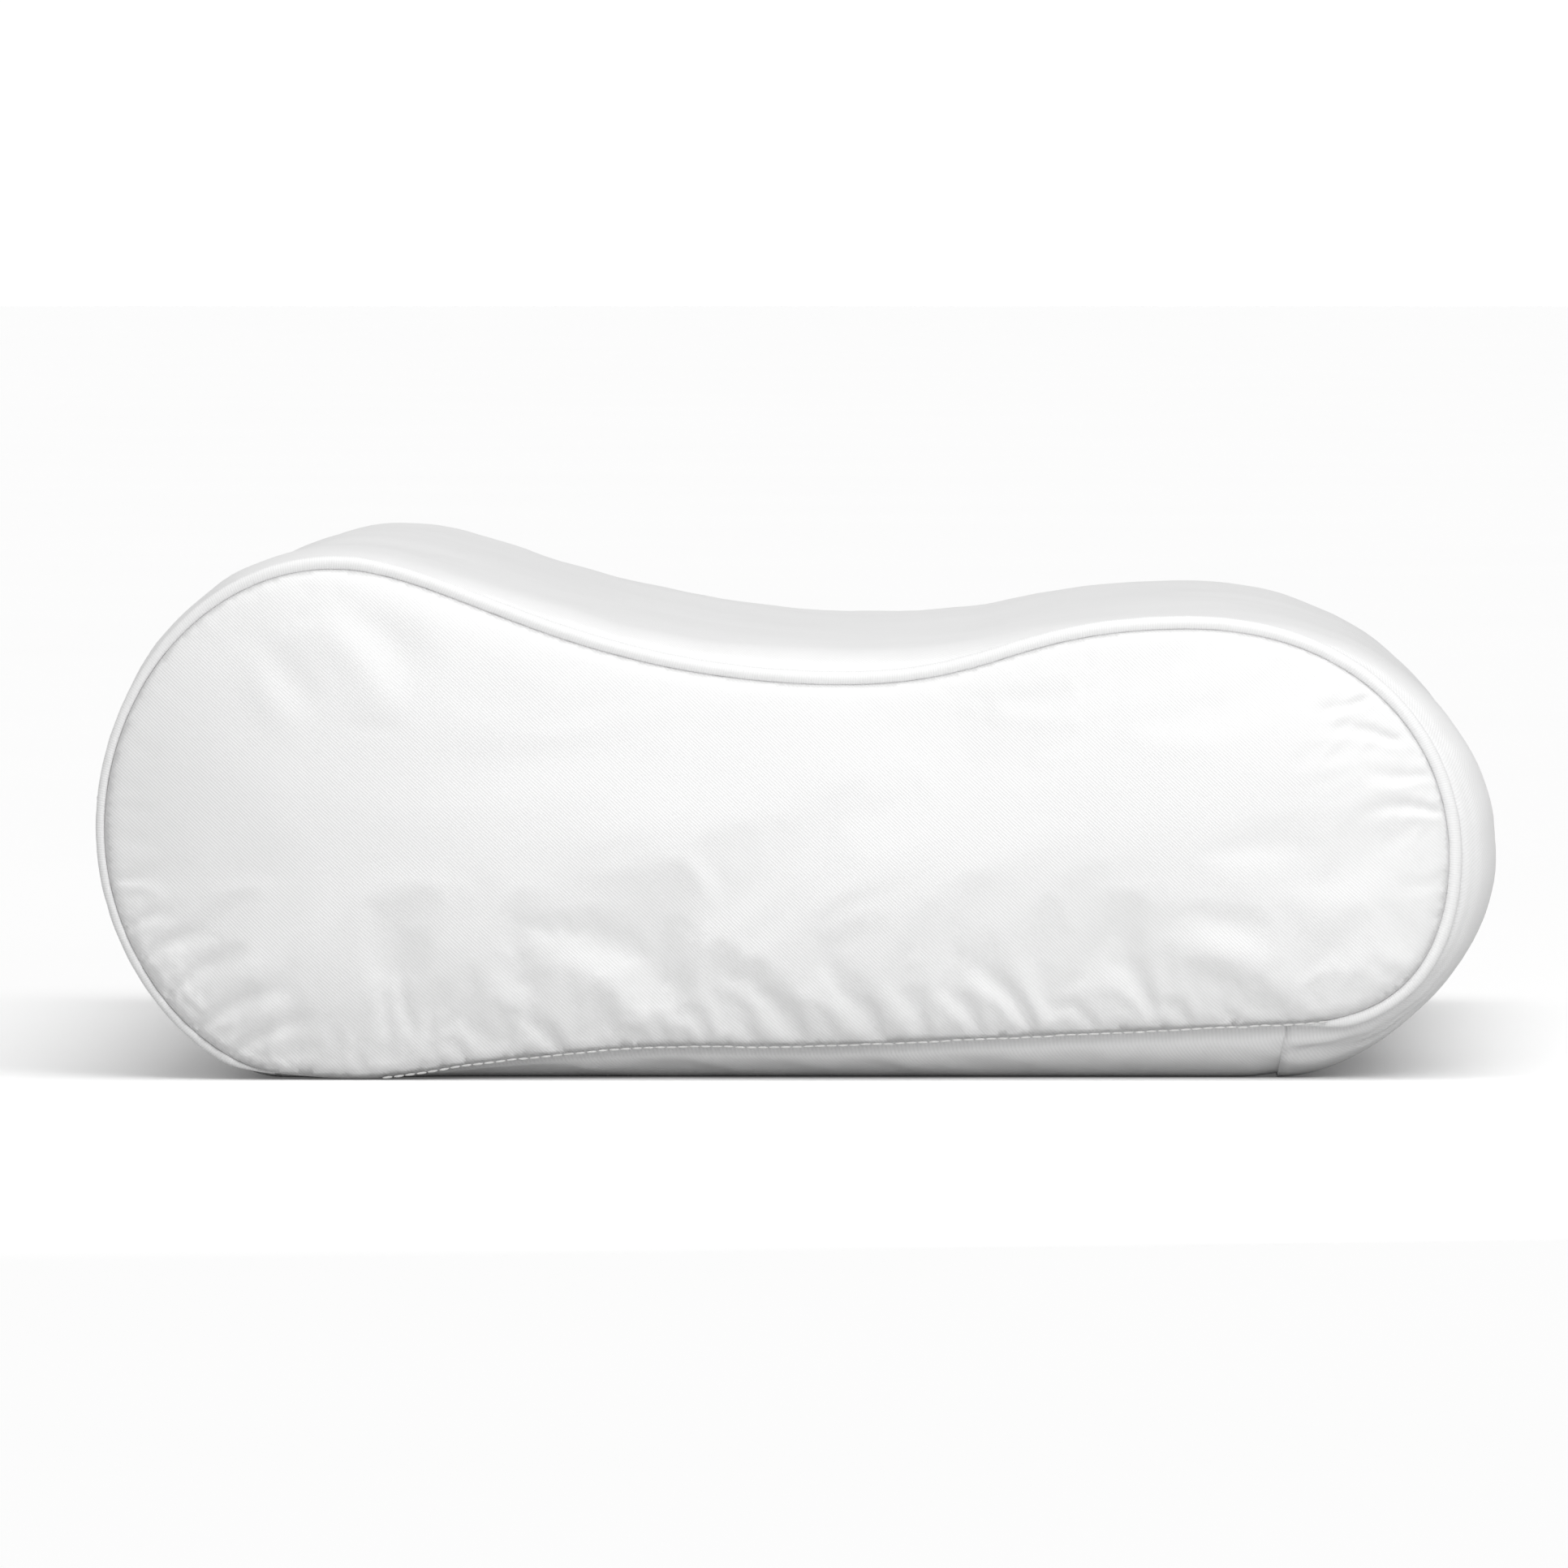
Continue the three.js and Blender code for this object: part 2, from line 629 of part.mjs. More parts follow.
function joined(...geometries) {
  let whole = solidOf(geometries[0]);
  for (const geometry of geometries.slice(1)) whole = whole.add(solidOf(geometry));
  const mesh = whole.getMesh();
  const geometry = new THREE.BufferGeometry();
  geometry.setAttribute("position", new THREE.BufferAttribute(mesh.vertProperties, 3));
  geometry.setIndex(new THREE.BufferAttribute(mesh.triVerts, 1));
  return geometry;
}

// The slider's plates: narrow at the trailing end, and flared, then rounded in, at the leading end.
function sliderOutline(inset) {
  const half = SLIDER_LENGTH / 2 - inset;
  const wide = SLIDER_WIDTH / 2 - inset;
  const narrow = SLIDER_NARROW / 2 - inset;
  const lip = wide - SLIDER_FLANGE;
  const shape = new THREE.Shape();
  shape.moveTo(SLIDER_Y - half, -narrow);
  shape.lineTo(SLIDER_Y, -narrow);
  shape.quadraticCurveTo(SLIDER_Y + half / 2, -wide, SLIDER_Y + half, -lip);
  shape.lineTo(SLIDER_Y + half, lip);
  shape.quadraticCurveTo(SLIDER_Y + half / 2, wide, SLIDER_Y, narrow);
  shape.lineTo(SLIDER_Y - half, narrow);
  return shape;
}

// The bail: an arch along the slider that the pull tab's bar runs through.
function bailGeometry() {
  const half = BAIL_LENGTH / 2;
  const foot = SLIDER_PLATE / 2; // sunk in the plate, so that the two join
  const shape = new THREE.Shape();
  shape.moveTo(-half, -foot);
  shape.lineTo(-half, BAIL_HEIGHT / 2);
  shape.quadraticCurveTo(-half, BAIL_HEIGHT, -half + BAIL_HEIGHT / 2, BAIL_HEIGHT);
  shape.lineTo(half - BAIL_HEIGHT / 2, BAIL_HEIGHT);
  shape.quadraticCurveTo(half, BAIL_HEIGHT, half, BAIL_HEIGHT / 2);
  shape.lineTo(half, -foot);
  shape.lineTo(half - BAIL_WALL, -foot);
  shape.lineTo(half - BAIL_WALL, BAIL_HEIGHT - BAIL_WALL);
  shape.lineTo(-half + BAIL_WALL, BAIL_HEIGHT - BAIL_WALL);
  shape.lineTo(-half + BAIL_WALL, -foot);
  const geometry = new THREE.ExtrudeGeometry(shape, { depth: BAIL_WIDTH, ...PLAIN });
  geometry.applyMatrix4(SIDEWAYS);
  return geometry.translate(REAR_X + PLATE_TOP, SLIDER_Y, REAR_WALL_WIDEST - BAIL_WIDTH / 2);
}

function addSlider() {
  const outerPlate = wallPlate(sliderOutline(0), PLATE_TOP, PLATE_TOP + SLIDER_PLATE);
  const innerPlate = wallPlate(sliderOutline(GAP), INNER_PLATE_AT, INNER_PLATE_AT + SLIDER_PLATE);
  const postEnd = SLIDER_Y + SLIDER_LENGTH / 2 - SLIDER_POST_SETBACK;
  const web = SLIDER_POST / 2;
  const post = roundedRectangle(postEnd - SLIDER_POST_LENGTH, postEnd, -web, web, web / 2);
  const postSolid = wallPlate(post, PLATE_TOP + SLIDER_PLATE / 2, INNER_PLATE_AT + SLIDER_PLATE / 2);
  const straight = SLIDER_LENGTH / 2 - GAP;
  const flanges = [-1, 1].map((side) => {
    const outer = (side * SLIDER_NARROW) / 2;
    const inner = outer - side * SLIDER_FLANGE;
    const low = Math.min(outer, inner);
    const high = low + SLIDER_FLANGE;
    const flange = roundedRectangle(SLIDER_Y - straight, SLIDER_Y, low, high, SLIDER_FLANGE / 3);
    return wallPlate(flange, PLATE_TOP + SLIDER_PLATE / 2, TAPE_AT - GAP);
  });
  const solid = joined(outerPlate, innerPlate, postSolid, bailGeometry(), ...flanges);
  add("zip_slider", solid, metal);
}

// The pull tab lies flat over the chain, its bar through the bail.
function addPullTab() {
  const bar = TAB_THICK / 2;
  const hingeDepth = PLATE_TOP - (BAIL_HEIGHT - BAIL_WALL) / 2;
  const end = SLIDER_Y - TAB_LENGTH;
  const waist = (SLIDER_Y + end) / 2;
  const half = TAB_WIDTH / 2;
  const shape = new THREE.Shape();
  shape.moveTo(SLIDER_Y + bar, -half + bar);
  shape.lineTo(SLIDER_Y + bar, half - bar);
  shape.quadraticCurveTo(SLIDER_Y + bar, half, SLIDER_Y, half);
  shape.quadraticCurveTo(waist, TAB_WAIST / 2 - (half - TAB_WAIST / 2), end + half, half);
  shape.absarc(end + half, 0, half, Math.PI / 2, 1.5 * Math.PI);
  shape.quadraticCurveTo(waist, -TAB_WAIST / 2 + (half - TAB_WAIST / 2), SLIDER_Y, -half);
  shape.quadraticCurveTo(SLIDER_Y + bar, -half, SLIDER_Y + bar, -half + bar);
  const windowHalf = TAB_WINDOW_WIDTH / 2;
  const grip = end + half / 2;
  shape.holes.push(
    roundedRectangle(SLIDER_Y - TAB_WINDOW_END, SLIDER_Y - bar, -windowHalf, windowHalf, TAB_THICK / 4),
    roundedRectangle(grip, grip + TAB_GRIP_HOLE, -windowHalf / 2, windowHalf / 2, windowHalf / 2 - GAP / 2),
  );
  add("zip_pull_tab", wallPlate(shape, hingeDepth - TAB_THICK / 2, hingeDepth + TAB_THICK / 2), metal);
}

// ---- Care label: a blank loop sewn into the far end's seam, lying on the rear panel ----
function addCareLabel() {
  const free = WRAP_Y - LABEL_LENGTH;
  const ys = [free, ...wrapSections().filter((y) => y > free)];
  const across = stretch(HEEL, LABEL_ABOVE_HEEL, LABEL_ABOVE_HEEL + LABEL_WIDTH);
  add("care_label", strip(across, ys, -GAP - LABEL, -GAP), labelSatin);
}

addFoam();
addLinerSleeve();
addEnds();
addWrap();
addTapes();
addCoilsAndStops();
addSlider();
addPullTab();
addCareLabel();

export default root;
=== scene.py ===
# %% [markdown]
# # A lumbar support cushion in a piped satin-twill cover
# A contoured foam block sits in a knit liner, and the liner in a removable cover. The cover is sewn from three
# panels that wrap round the contour and two end panels, with piping in the end seams and a coil zip along the
# rear wall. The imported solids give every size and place. This lesson swaps the plain soft solids for cloth with
# seams, folds and a weave, and gives the zip its turns of nylon and its stitching.

import math

import bmesh
import bpy
import numpy as np
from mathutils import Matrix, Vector
from mathutils.geometry import delaunay_2d_cdt


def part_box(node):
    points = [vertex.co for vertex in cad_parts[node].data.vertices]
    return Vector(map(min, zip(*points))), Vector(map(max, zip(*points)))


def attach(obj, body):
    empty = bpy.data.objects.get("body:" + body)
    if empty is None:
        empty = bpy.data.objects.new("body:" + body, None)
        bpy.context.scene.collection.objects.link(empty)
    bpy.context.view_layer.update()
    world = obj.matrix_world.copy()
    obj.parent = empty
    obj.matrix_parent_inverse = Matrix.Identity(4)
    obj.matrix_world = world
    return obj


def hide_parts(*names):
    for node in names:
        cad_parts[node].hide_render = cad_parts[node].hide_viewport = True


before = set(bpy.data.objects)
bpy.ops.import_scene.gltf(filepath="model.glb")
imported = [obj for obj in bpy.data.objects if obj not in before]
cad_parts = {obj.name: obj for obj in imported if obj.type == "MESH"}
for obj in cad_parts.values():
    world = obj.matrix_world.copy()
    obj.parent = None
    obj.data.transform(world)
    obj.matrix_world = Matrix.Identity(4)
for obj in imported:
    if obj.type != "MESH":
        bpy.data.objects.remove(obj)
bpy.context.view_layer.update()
MM = 0.001

# %% [markdown]
# ## The contour
# Seen from the end, the cushion is a closed line through seven keys: the rear wall, the crest of the high lobe,
# the dip, the crest of the low lobe, the nose, the toe and the heel. A cubic curve joins each key to the next.
# The end seams follow a slightly smaller line, and the wrap swells from it to the full contour over the first
# 18 mm. A station is a key's number plus the share of the way to the next key. Lengths here are millimetres.

# %% Key sizes of the full contour and of the end seams
REAR_X, NOSE_X = -157.0, 157.0
HIGH_X, LOW_X = -104.0, 88.0
DIP_X = HIGH_X + 0.62 * (LOW_X - HIGH_X)
BODY = dict(
    rearX=REAR_X, rearZ=60, highX=HIGH_X, highZ=118.5, dipX=DIP_X, dipZ=96.5, lowX=LOW_X, lowZ=104.5,
    noseX=NOSE_X, noseZ=50, toeX=108, toeZ=0, underToeZ=0, underHeelZ=0, heelX=-116, heelZ=0, full=0.46,
)
SEAM = dict(
    BODY, rearX=-155.3, rearZ=56, highZ=114.7, dipX=DIP_X - 4, dipZ=88.8, lowZ=101.3, noseX=146.5,
    toeX=110, toeZ=12.5, underToeZ=8.5, underHeelZ=5.5, heelZ=2.4, full=0.65,
)
TOE, HEEL, ROUND_TRIP = 5, 6, 7
CORNER = 18.0
WRAP_Y, PIPING_Y, PANEL_Y, STITCH_Y = 239.4, 241.4, 242.5, 243.55  # distances of the sewn layers from the middle
COVER = 0.8


def bell(value, middle, width):
    """1 at the middle, fading over a width to either side."""
    return np.exp(-(((value - middle) / width) ** 2))


# %% The seven curves for any number of cross-sections at once
def contour_handles(share):
    """Bezier points, rows x 7 curves x 4 points x (X, Z); share 0 is the end seam and 1 the full contour."""
    share = np.atleast_1d(np.asarray(share, float))
    p = {k: SEAM[k] + (BODY[k] - SEAM[k]) * share for k in BODY}
    rise, back = p["highZ"] - p["rearZ"], p["highX"] - p["rearX"]
    fall, climb = p["dipX"] - p["highX"], p["lowX"] - p["dipX"]
    brow, chin = p["noseX"] - p["lowX"], p["noseX"] - p["toeX"]
    under, heel = (p["toeX"] - p["heelX"]) * 0.36, p["heelX"] - p["rearX"]
    key = [(p[k + "X"], p[k + "Z"]) for k in ("rear", "high", "dip", "low", "nose", "toe", "heel")]
    between = [
        ((p["rearX"], p["rearZ"] + 0.53 * rise), (p["highX"] - 0.56 * back, p["highZ"])),
        ((p["highX"] + 0.22 * fall, p["highZ"]), (p["dipX"] - 0.54 * fall, p["dipZ"])),
        ((p["dipX"] + 0.44 * climb, p["dipZ"]), (p["lowX"] - 0.5 * climb, p["lowZ"])),
        ((p["lowX"] + 0.62 * brow, p["lowZ"]), (p["noseX"], p["noseZ"] + 0.55 * (p["lowZ"] - p["noseZ"]))),
        ((p["noseX"], p["noseZ"] - p["full"] * (p["noseZ"] - p["toeZ"])),
         (p["toeX"] + p["full"] * chin, p["toeZ"])),
        ((p["toeX"] - under, p["underToeZ"]), (p["heelX"] + under, p["underHeelZ"])),
        ((p["heelX"] - 0.47 * heel, p["heelZ"]), (p["rearX"], p["rearZ"] - 0.51 * (p["rearZ"] - p["heelZ"]))),
    ]
    curves = [[key[i], *between[i], key[(i + 1) % 7]] for i in range(7)]
    return np.array(curves, float).transpose(3, 0, 1, 2)


HEEL_SAG, HEEL_SAG_X = 2.9, -96.0  # the base seam sags towards the floor just in front of the heel
SEAM_LIFT, SEAM_LIFT_X = 1.6, -32.0  # and stands higher where the folds begin


def contour(share, station, depth=0.0):
    """X and Z of stations on each row's contour, moved inwards by a depth. Each row may have its own stations."""
    handles = contour_handles(share)
    station = np.mod(np.broadcast_to(station, (len(handles), np.shape(station)[-1])), ROUND_TRIP)
    index = np.minimum(station.astype(int), ROUND_TRIP - 1)
    t = (station - index)[..., None]
    a, b, c, d = (handles[np.arange(len(handles))[:, None], index, k] for k in range(4))
    point = a * (1 - t) ** 3 + 3 * b * t * (1 - t) ** 2 + 3 * c * t * t * (1 - t) + d * t**3
    along = (b - a) * (1 - t) ** 2 + 2 * (c - b) * t * (1 - t) + (d - c) * t * t
    along /= np.linalg.norm(along, axis=-1, keepdims=True)
    x = point[..., 0] + along[..., 1] * depth
    z = point[..., 1] - along[..., 0] * depth
    sag = HEEL_SAG * bell(x, HEEL_SAG_X, 21) - SEAM_LIFT * bell(x, SEAM_LIFT_X, 26)
    share = np.atleast_1d(np.asarray(share, float))[:, None]
    return x, z - sag * (1 - share) * np.clip((20 - z) / 16, 0, 1)


def swell(y):
    """Share of the full contour at distances y from the middle."""
    reach = np.clip((WRAP_Y - np.abs(y)) / CORNER, 0, 1)
    return np.sqrt(1 - (1 - reach) ** 2)


# %% Distances along the contour, to space lines evenly and to lay the weave
FINE = np.linspace(0, ROUND_TRIP, 7001)


def walked(share):
    x, z = contour(share, FINE)
    return np.concatenate([[0], np.cumsum(np.hypot(np.diff(x[0]), np.diff(z[0])))])


BODY_WALK, SEAM_WALK = walked(1.0), walked(0.0)


def arc_at(station, walk=BODY_WALK):
    turns = np.floor(np.asarray(station, float) / ROUND_TRIP)
    return np.interp(np.asarray(station, float) - turns * ROUND_TRIP, FINE, walk) + turns * walk[-1]


def station_at(arc, walk=BODY_WALK):
    turns = np.floor(np.asarray(arc, float) / walk[-1])
    return np.interp(np.asarray(arc, float) - turns * walk[-1], walk, FINE) + turns * ROUND_TRIP


print("round the full contour", round(BODY_WALK[-1], 1), "mm, round an end seam", round(SEAM_WALK[-1], 1), "mm")


# %% [markdown]
# ## Small helpers
# Cloth is never quite smooth, so the panels need a gentle, repeatable unevenness. Value noise gives it: random
# numbers on a lattice, blended smoothly in between, from a fixed seed. Every mesh also carries a UV map named
# cloth, in metres along the fabric, so that one weave material fits flat and wrapped panels alike.

# %% Smooth noise, smooth steps and a mesh from a grid
def noise(a, b, seed):
    lattice = np.random.default_rng(seed).uniform(-1, 1, (61, 67))
    a, b = np.asarray(a, float), np.asarray(b, float)
    i, j = np.floor(a).astype(int), np.floor(b).astype(int)
    s, t = a - i, b - j
    s, t = s * s * s * (s * (6 * s - 15) + 10), t * t * t * (t * (6 * t - 15) + 10)
    at = lambda m, n: lattice[m % 61, n % 67]
    return (at(i, j) * (1 - s) + at(i + 1, j) * s) * (1 - t) + (at(i, j + 1) * (1 - s) + at(i + 1, j + 1) * s) * t


def ease(value, low, high):
    t = np.clip((value - low) / (high - low), 0, 1)
    return t * t * (3 - 2 * t)


def stacked(*parts):
    """Coordinates given as grids, rows or columns, as one list of points."""
    return np.stack(np.broadcast_arrays(*parts), -1).reshape(-1, len(parts))


def put(name, data):
    """An object in the scene, at the origin."""
    obj = bpy.data.objects.new(name, data)
    bpy.context.scene.collection.objects.link(obj)
    return obj


def make_mesh(name, points, faces, cloth, material):
    """A smooth-shaded object from points in millimetres, with its cloth map in metres."""
    mesh = bpy.data.meshes.new(name)
    mesh.from_pydata((np.asarray(points) * MM).tolist(), [], faces)
    mesh.polygons.foreach_set("use_smooth", [True] * len(mesh.polygons))
    corner = np.zeros(len(mesh.loops), int)
    mesh.loops.foreach_get("vertex_index", corner)
    layer = mesh.uv_layers.new(name="cloth")
    layer.data.foreach_set("uv", (np.asarray(cloth) * MM)[corner].ravel())
    mesh.materials.append(material)
    return put(name, mesh)


def grid_faces(rows, columns, closed=False, flip=False):
    j, i = np.meshgrid(np.arange(rows - 1), np.arange(columns if closed else columns - 1), indexing="ij")
    k = (i + 1) % columns
    quads = np.stack([j * columns + i, j * columns + k, (j + 1) * columns + k, (j + 1) * columns + i], -1)
    quads = quads.reshape(-1, 4)
    return (quads[:, ::-1] if flip else quads).tolist()


def capped_faces(rows, columns):
    """Faces of a tube of rings whose ends fan out from the two points that follow the last ring."""
    count, last = rows * columns, (rows - 1) * columns
    faces = grid_faces(rows, columns, closed=True)
    faces += [(count, (i + 1) % columns, i) for i in range(columns)]
    faces += [(count + 1, last + i, last + (i + 1) % columns) for i in range(columns)]
    return faces


def outward(obj):
    """Turns a closed or nearly closed mesh so that its faces point out."""
    bm = bmesh.new()
    bm.from_mesh(obj.data)
    bmesh.ops.recalc_face_normals(bm, faces=bm.faces)
    bm.to_mesh(obj.data)
    bm.free()


def thicken(obj, thickness):
    """Gives a one-sided cloth its thickness, inwards from its outer face."""
    modifier = obj.modifiers.new("cloth thickness", "SOLIDIFY")
    modifier.thickness = thickness * MM
    modifier.offset = -1
    return obj


def settle(obj, body, slot, *nodes):
    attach(obj, body)
    if nodes:
        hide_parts(*nodes)
    print(obj.name, len(obj.data.polygons), "faces, for", ", ".join(nodes) or "detail")
    return obj


# %% [markdown]
# ## Weave, as a node group
# The cover is a satin twill: fine diagonal wales about 0.6 mm apart, crossed by the yarns. Several finishes need
# the same pattern at their own pitch and slant, so it is one shader group. It turns a cloth position into a
# height for the Bump node, and a painted shade that darkens the colour a little in the valleys between wales.
# Node trees are long to write out, so the helpers that name, feed and link nodes come first.

# %% Ways to write nodes briefly
def plug(tree, socket, value):
    """Links an output to a socket, or sets the socket's own number, colour or vector."""
    if isinstance(value, bpy.types.NodeSocket):
        tree.links.new(value, socket)
    else:
        socket.default_value = value


def feed(tree, node, **inputs):
    """Plugs values into a node's inputs by name, with _ for a space."""
    for label, value in inputs.items():
        plug(tree, node.inputs[label.replace("_", " ")], value)
    return node


def add_node(tree, kind, **inputs):
    return feed(tree, tree.nodes.new(kind), **inputs)


def sums(tree):
    """A short way to write a Math node: calc("MULTIPLY", a, b) gives its output."""
    def calc(operation, *values):
        node = tree.nodes.new("ShaderNodeMath")
        node.operation = operation
        for socket, value in zip(node.inputs, values):
            plug(tree, socket, value)
        return node.outputs[0]
    return calc


def new_group(name, inputs, outputs, kind="ShaderNodeTree"):
    """inputs are (name, socket type, value) and outputs are (name, socket type)."""
    group = bpy.data.node_groups.new(name, kind)
    for label, socket_type, value in inputs:
        socket = group.interface.new_socket(name=label, in_out="INPUT", socket_type=socket_type)
        if value is not None:
            socket.default_value = value
    for label, socket_type in outputs:
        group.interface.new_socket(name=label, in_out="OUTPUT", socket_type=socket_type)
    return group, group.nodes.new("NodeGroupInput"), group.nodes.new("NodeGroupOutput")


# %% The twill group
def make_weave():
    group, inside, out = new_group(
        "twill weave",
        [("Vector", "NodeSocketVector", None), ("Pitch", "NodeSocketFloat", 0.00059),
         ("Slant", "NodeSocketFloat", 0.9), ("Slub", "NodeSocketFloat", 0.35)],
        [("Height", "NodeSocketFloat"), ("Shade", "NodeSocketFloat")],
    )
    calc = sums(group)
    vector, pitch, slant, slub = (inside.outputs[k] for k in ("Vector", "Pitch", "Slant", "Slub"))
    split = add_node(group, "ShaderNodeSeparateXYZ", Vector=vector)
    u, v = split.outputs[0], split.outputs[1]
    across = calc("ADD", calc("MULTIPLY", u, calc("COSINE", slant)), calc("MULTIPLY", v, calc("SINE", slant)))
    wale = calc("SINE", calc("MULTIPLY", calc("DIVIDE", across, pitch), 2 * math.pi))
    yarn = calc("SINE", calc("MULTIPLY", calc("DIVIDE", v, pitch), 2 * math.pi * 1.45))
    woven = calc("ADD", calc("MULTIPLY", wale, 0.36), calc("MULTIPLY", calc("MULTIPLY", wale, yarn), 0.14))
    stretch = add_node(group, "ShaderNodeMapping", Vector=vector, Scale=(1, 0.35, 1))
    cloud = add_node(group, "ShaderNodeTexNoise", Vector=stretch.outputs[0], Scale=2600, Detail=2)
    uneven = calc("MULTIPLY", calc("SUBTRACT", cloud.outputs[0], 0.5), slub)
    height = calc("ADD", calc("ADD", woven, uneven), 0.5)
    # Shade is a painted shade: the colour darkens where the weave's height is low, in the valleys between wales.
    feed(group, out, Height=height, Shade=calc("MINIMUM", calc("MAXIMUM", height, 0.0), 1.0))
    return group


WEAVE = make_weave()
print("weave group:", [s.name for s in WEAVE.interface.items_tree])

# %% [markdown]
# ## Handled cloth, as a second group
# Fabric that has been cut, sewn and washed carries faint creases and patches that take the light differently.
# One group gives both: a low, wide unevenness for the colour and the roughness, and shallow creases for the bump.

# %% The handled-cloth group
def make_handled():
    group, inside, out = new_group(
        "handled cloth",
        [("Vector", "NodeSocketVector", None), ("Patch size", "NodeSocketFloat", 0.05),
         ("Crease size", "NodeSocketFloat", 0.012)],
        [("Patches", "NodeSocketFloat"), ("Creases", "NodeSocketFloat")],
    )
    calc = sums(group)
    for size, name, detail, warp in (("Patch size", "Patches", 2.0, 0.6), ("Crease size", "Creases", 3.0, 1.4)):
        cloud = add_node(group, "ShaderNodeTexNoise", Vector=inside.outputs["Vector"],
                         Scale=calc("DIVIDE", 1.0, inside.outputs[size]), Detail=detail, Distortion=warp)
        feed(group, out, **{name: cloud.outputs[0]})
    return group


HANDLED = make_handled()


# %% [markdown]
# ## Finishes
# Every cloth finish is the same recipe with other numbers: a base colour that drifts slightly at random and is
# darkened a little in the valleys of the weave as painted shade, a satin or matt roughness, the weave and the
# creases as bump, and a little sheen. The metal, the nylon and the foam have their own recipes. Numbers that
# don't change over the surface are set on the shader's own sockets.

# %% One recipe for cloth
def start_material(name, **constants):
    """A material, its tree and its shader; the constants are the same all over the surface."""
    material = bpy.data.materials.new(name)
    material.use_nodes = True
    tree = material.node_tree
    return material, tree, feed(tree, tree.nodes["Principled BSDF"], **constants)


def object_position(tree):
    return tree.nodes.new("ShaderNodeTexCoord").outputs["Object"]


def ramp(tree, value, low, high):
    """A colour that goes from low to high with a value."""
    node = tree.nodes.new("ShaderNodeMix")
    node.data_type = "RGBA"
    tree.links.new(value, node.inputs["Factor"])
    node.inputs["A"].default_value = (*low, 1)
    node.inputs["B"].default_value = (*high, 1)
    return node.outputs["Result"]


def between(tree, value, low, high):
    return add_node(tree, "ShaderNodeMapRange", Value=value, To_Min=low, To_Max=high).outputs[0]


def bump(tree, height, depth, strength=1.0, **under):
    """A bump of a depth in mm; Normal may give the one under it."""
    node = add_node(tree, "ShaderNodeBump", Distance=depth * MM, Strength=strength, Height=height, **under)
    return node.outputs[0]


def place_group(tree, group, vector, **values):
    node = tree.nodes.new("ShaderNodeGroup")
    node.node_tree = group
    return feed(tree, node, Vector=vector, **values)


def cloth_material(name, dark, light, rough, pitch, slant, depth, sheen, crease=0.05):
    """Pitch, depth and crease are in mm, and rough is the range of the roughness."""
    material, tree, shader = start_material(name, Sheen_Weight=sheen, Sheen_Roughness=0.4, Specular_IOR_Level=0.45)
    cloth = tree.nodes.new("ShaderNodeUVMap")
    cloth.uv_map = "cloth"
    weave = place_group(tree, WEAVE, cloth.outputs[0], Pitch=pitch * MM, Slant=slant)
    handled = place_group(tree, HANDLED, object_position(tree))
    patches, calc = handled.outputs["Patches"], sums(tree)
    # The colour mixes the weave's painted shade in its valleys with random patches.
    shade_and_patches = calc("ADD", calc("MULTIPLY", weave.outputs["Shade"], 0.55), calc("MULTIPLY", patches, 0.45))
    creases = bump(tree, handled.outputs["Creases"], crease, 0.6)
    feed(tree, shader, Base_Color=ramp(tree, shade_and_patches, dark, light), Roughness=between(tree, patches, *rough),
         Normal=bump(tree, weave.outputs["Height"], depth, 0.7, Normal=creases))
    return material


SATIN, BIAS, KNIT, TAPE, COTTON, RIBBON, THREAD = (cloth_material(*finish) for finish in (
    # name, darkest and lightest colour, roughness, pitch of the wales, their slant, depth of the weave, sheen
    ("satin twill", (0.80, 0.80, 0.80), (0.93, 0.93, 0.93), (0.40, 0.52), 0.59, 0.82, 0.056, 0.12),
    ("bias-cut satin", (0.80, 0.80, 0.80), (0.93, 0.93, 0.93), (0.36, 0.46), 0.59, 0.1, 0.05, 0.1),
    ("liner knit", (0.66, 0.67, 0.68), (0.82, 0.83, 0.84), (0.8, 0.95), 1.1, 1.57, 0.25, 0.3),
    ("zip tape weave", (0.70, 0.70, 0.69), (0.88, 0.88, 0.87), (0.65, 0.8), 0.8, 0.6, 0.09, 0.2),
    ("piping cord cotton", (0.70, 0.68, 0.62), (0.86, 0.84, 0.78), (0.85, 0.95), 1.6, 0.7, 0.3, 0.3),
    ("label ribbon", (0.84, 0.84, 0.84), (0.95, 0.95, 0.95), (0.28, 0.36), 0.35, 1.57, 0.03, 0.1),
    ("sewing thread", (0.72, 0.72, 0.71), (0.94, 0.94, 0.93), (0.42, 0.55), 0.22, 0.6, 0.04, 0.2),
))


# %% Nylon, metal and foam
def nylon_material():
    material, tree, shader = start_material("zip nylon")
    handled = place_group(tree, HANDLED, object_position(tree), Patch_size=0.006, Crease_size=0.0006)
    patches = handled.outputs["Patches"]
    feed(tree, shader, Base_Color=ramp(tree, patches, (0.80, 0.80, 0.79), (0.92, 0.92, 0.91)),
         Roughness=between(tree, patches, 0.22, 0.38), Normal=bump(tree, handled.outputs["Creases"], 0.01, 0.5))
    return material


def metal_material():
    material, tree, shader = start_material("plated zip metal", Metallic=1.0)
    stretch = add_node(tree, "ShaderNodeMapping", Vector=object_position(tree), Scale=(1, 0.15, 1))
    handled = place_group(tree, HANDLED, stretch.outputs[0], Patch_size=0.004, Crease_size=0.0005)
    brushed = handled.outputs["Creases"]
    feed(tree, shader, Base_Color=ramp(tree, handled.outputs["Patches"], (0.60, 0.61, 0.62), (0.80, 0.80, 0.80)),
         Roughness=between(tree, brushed, 0.2, 0.38), Normal=bump(tree, brushed, 0.008, 0.5))
    return material


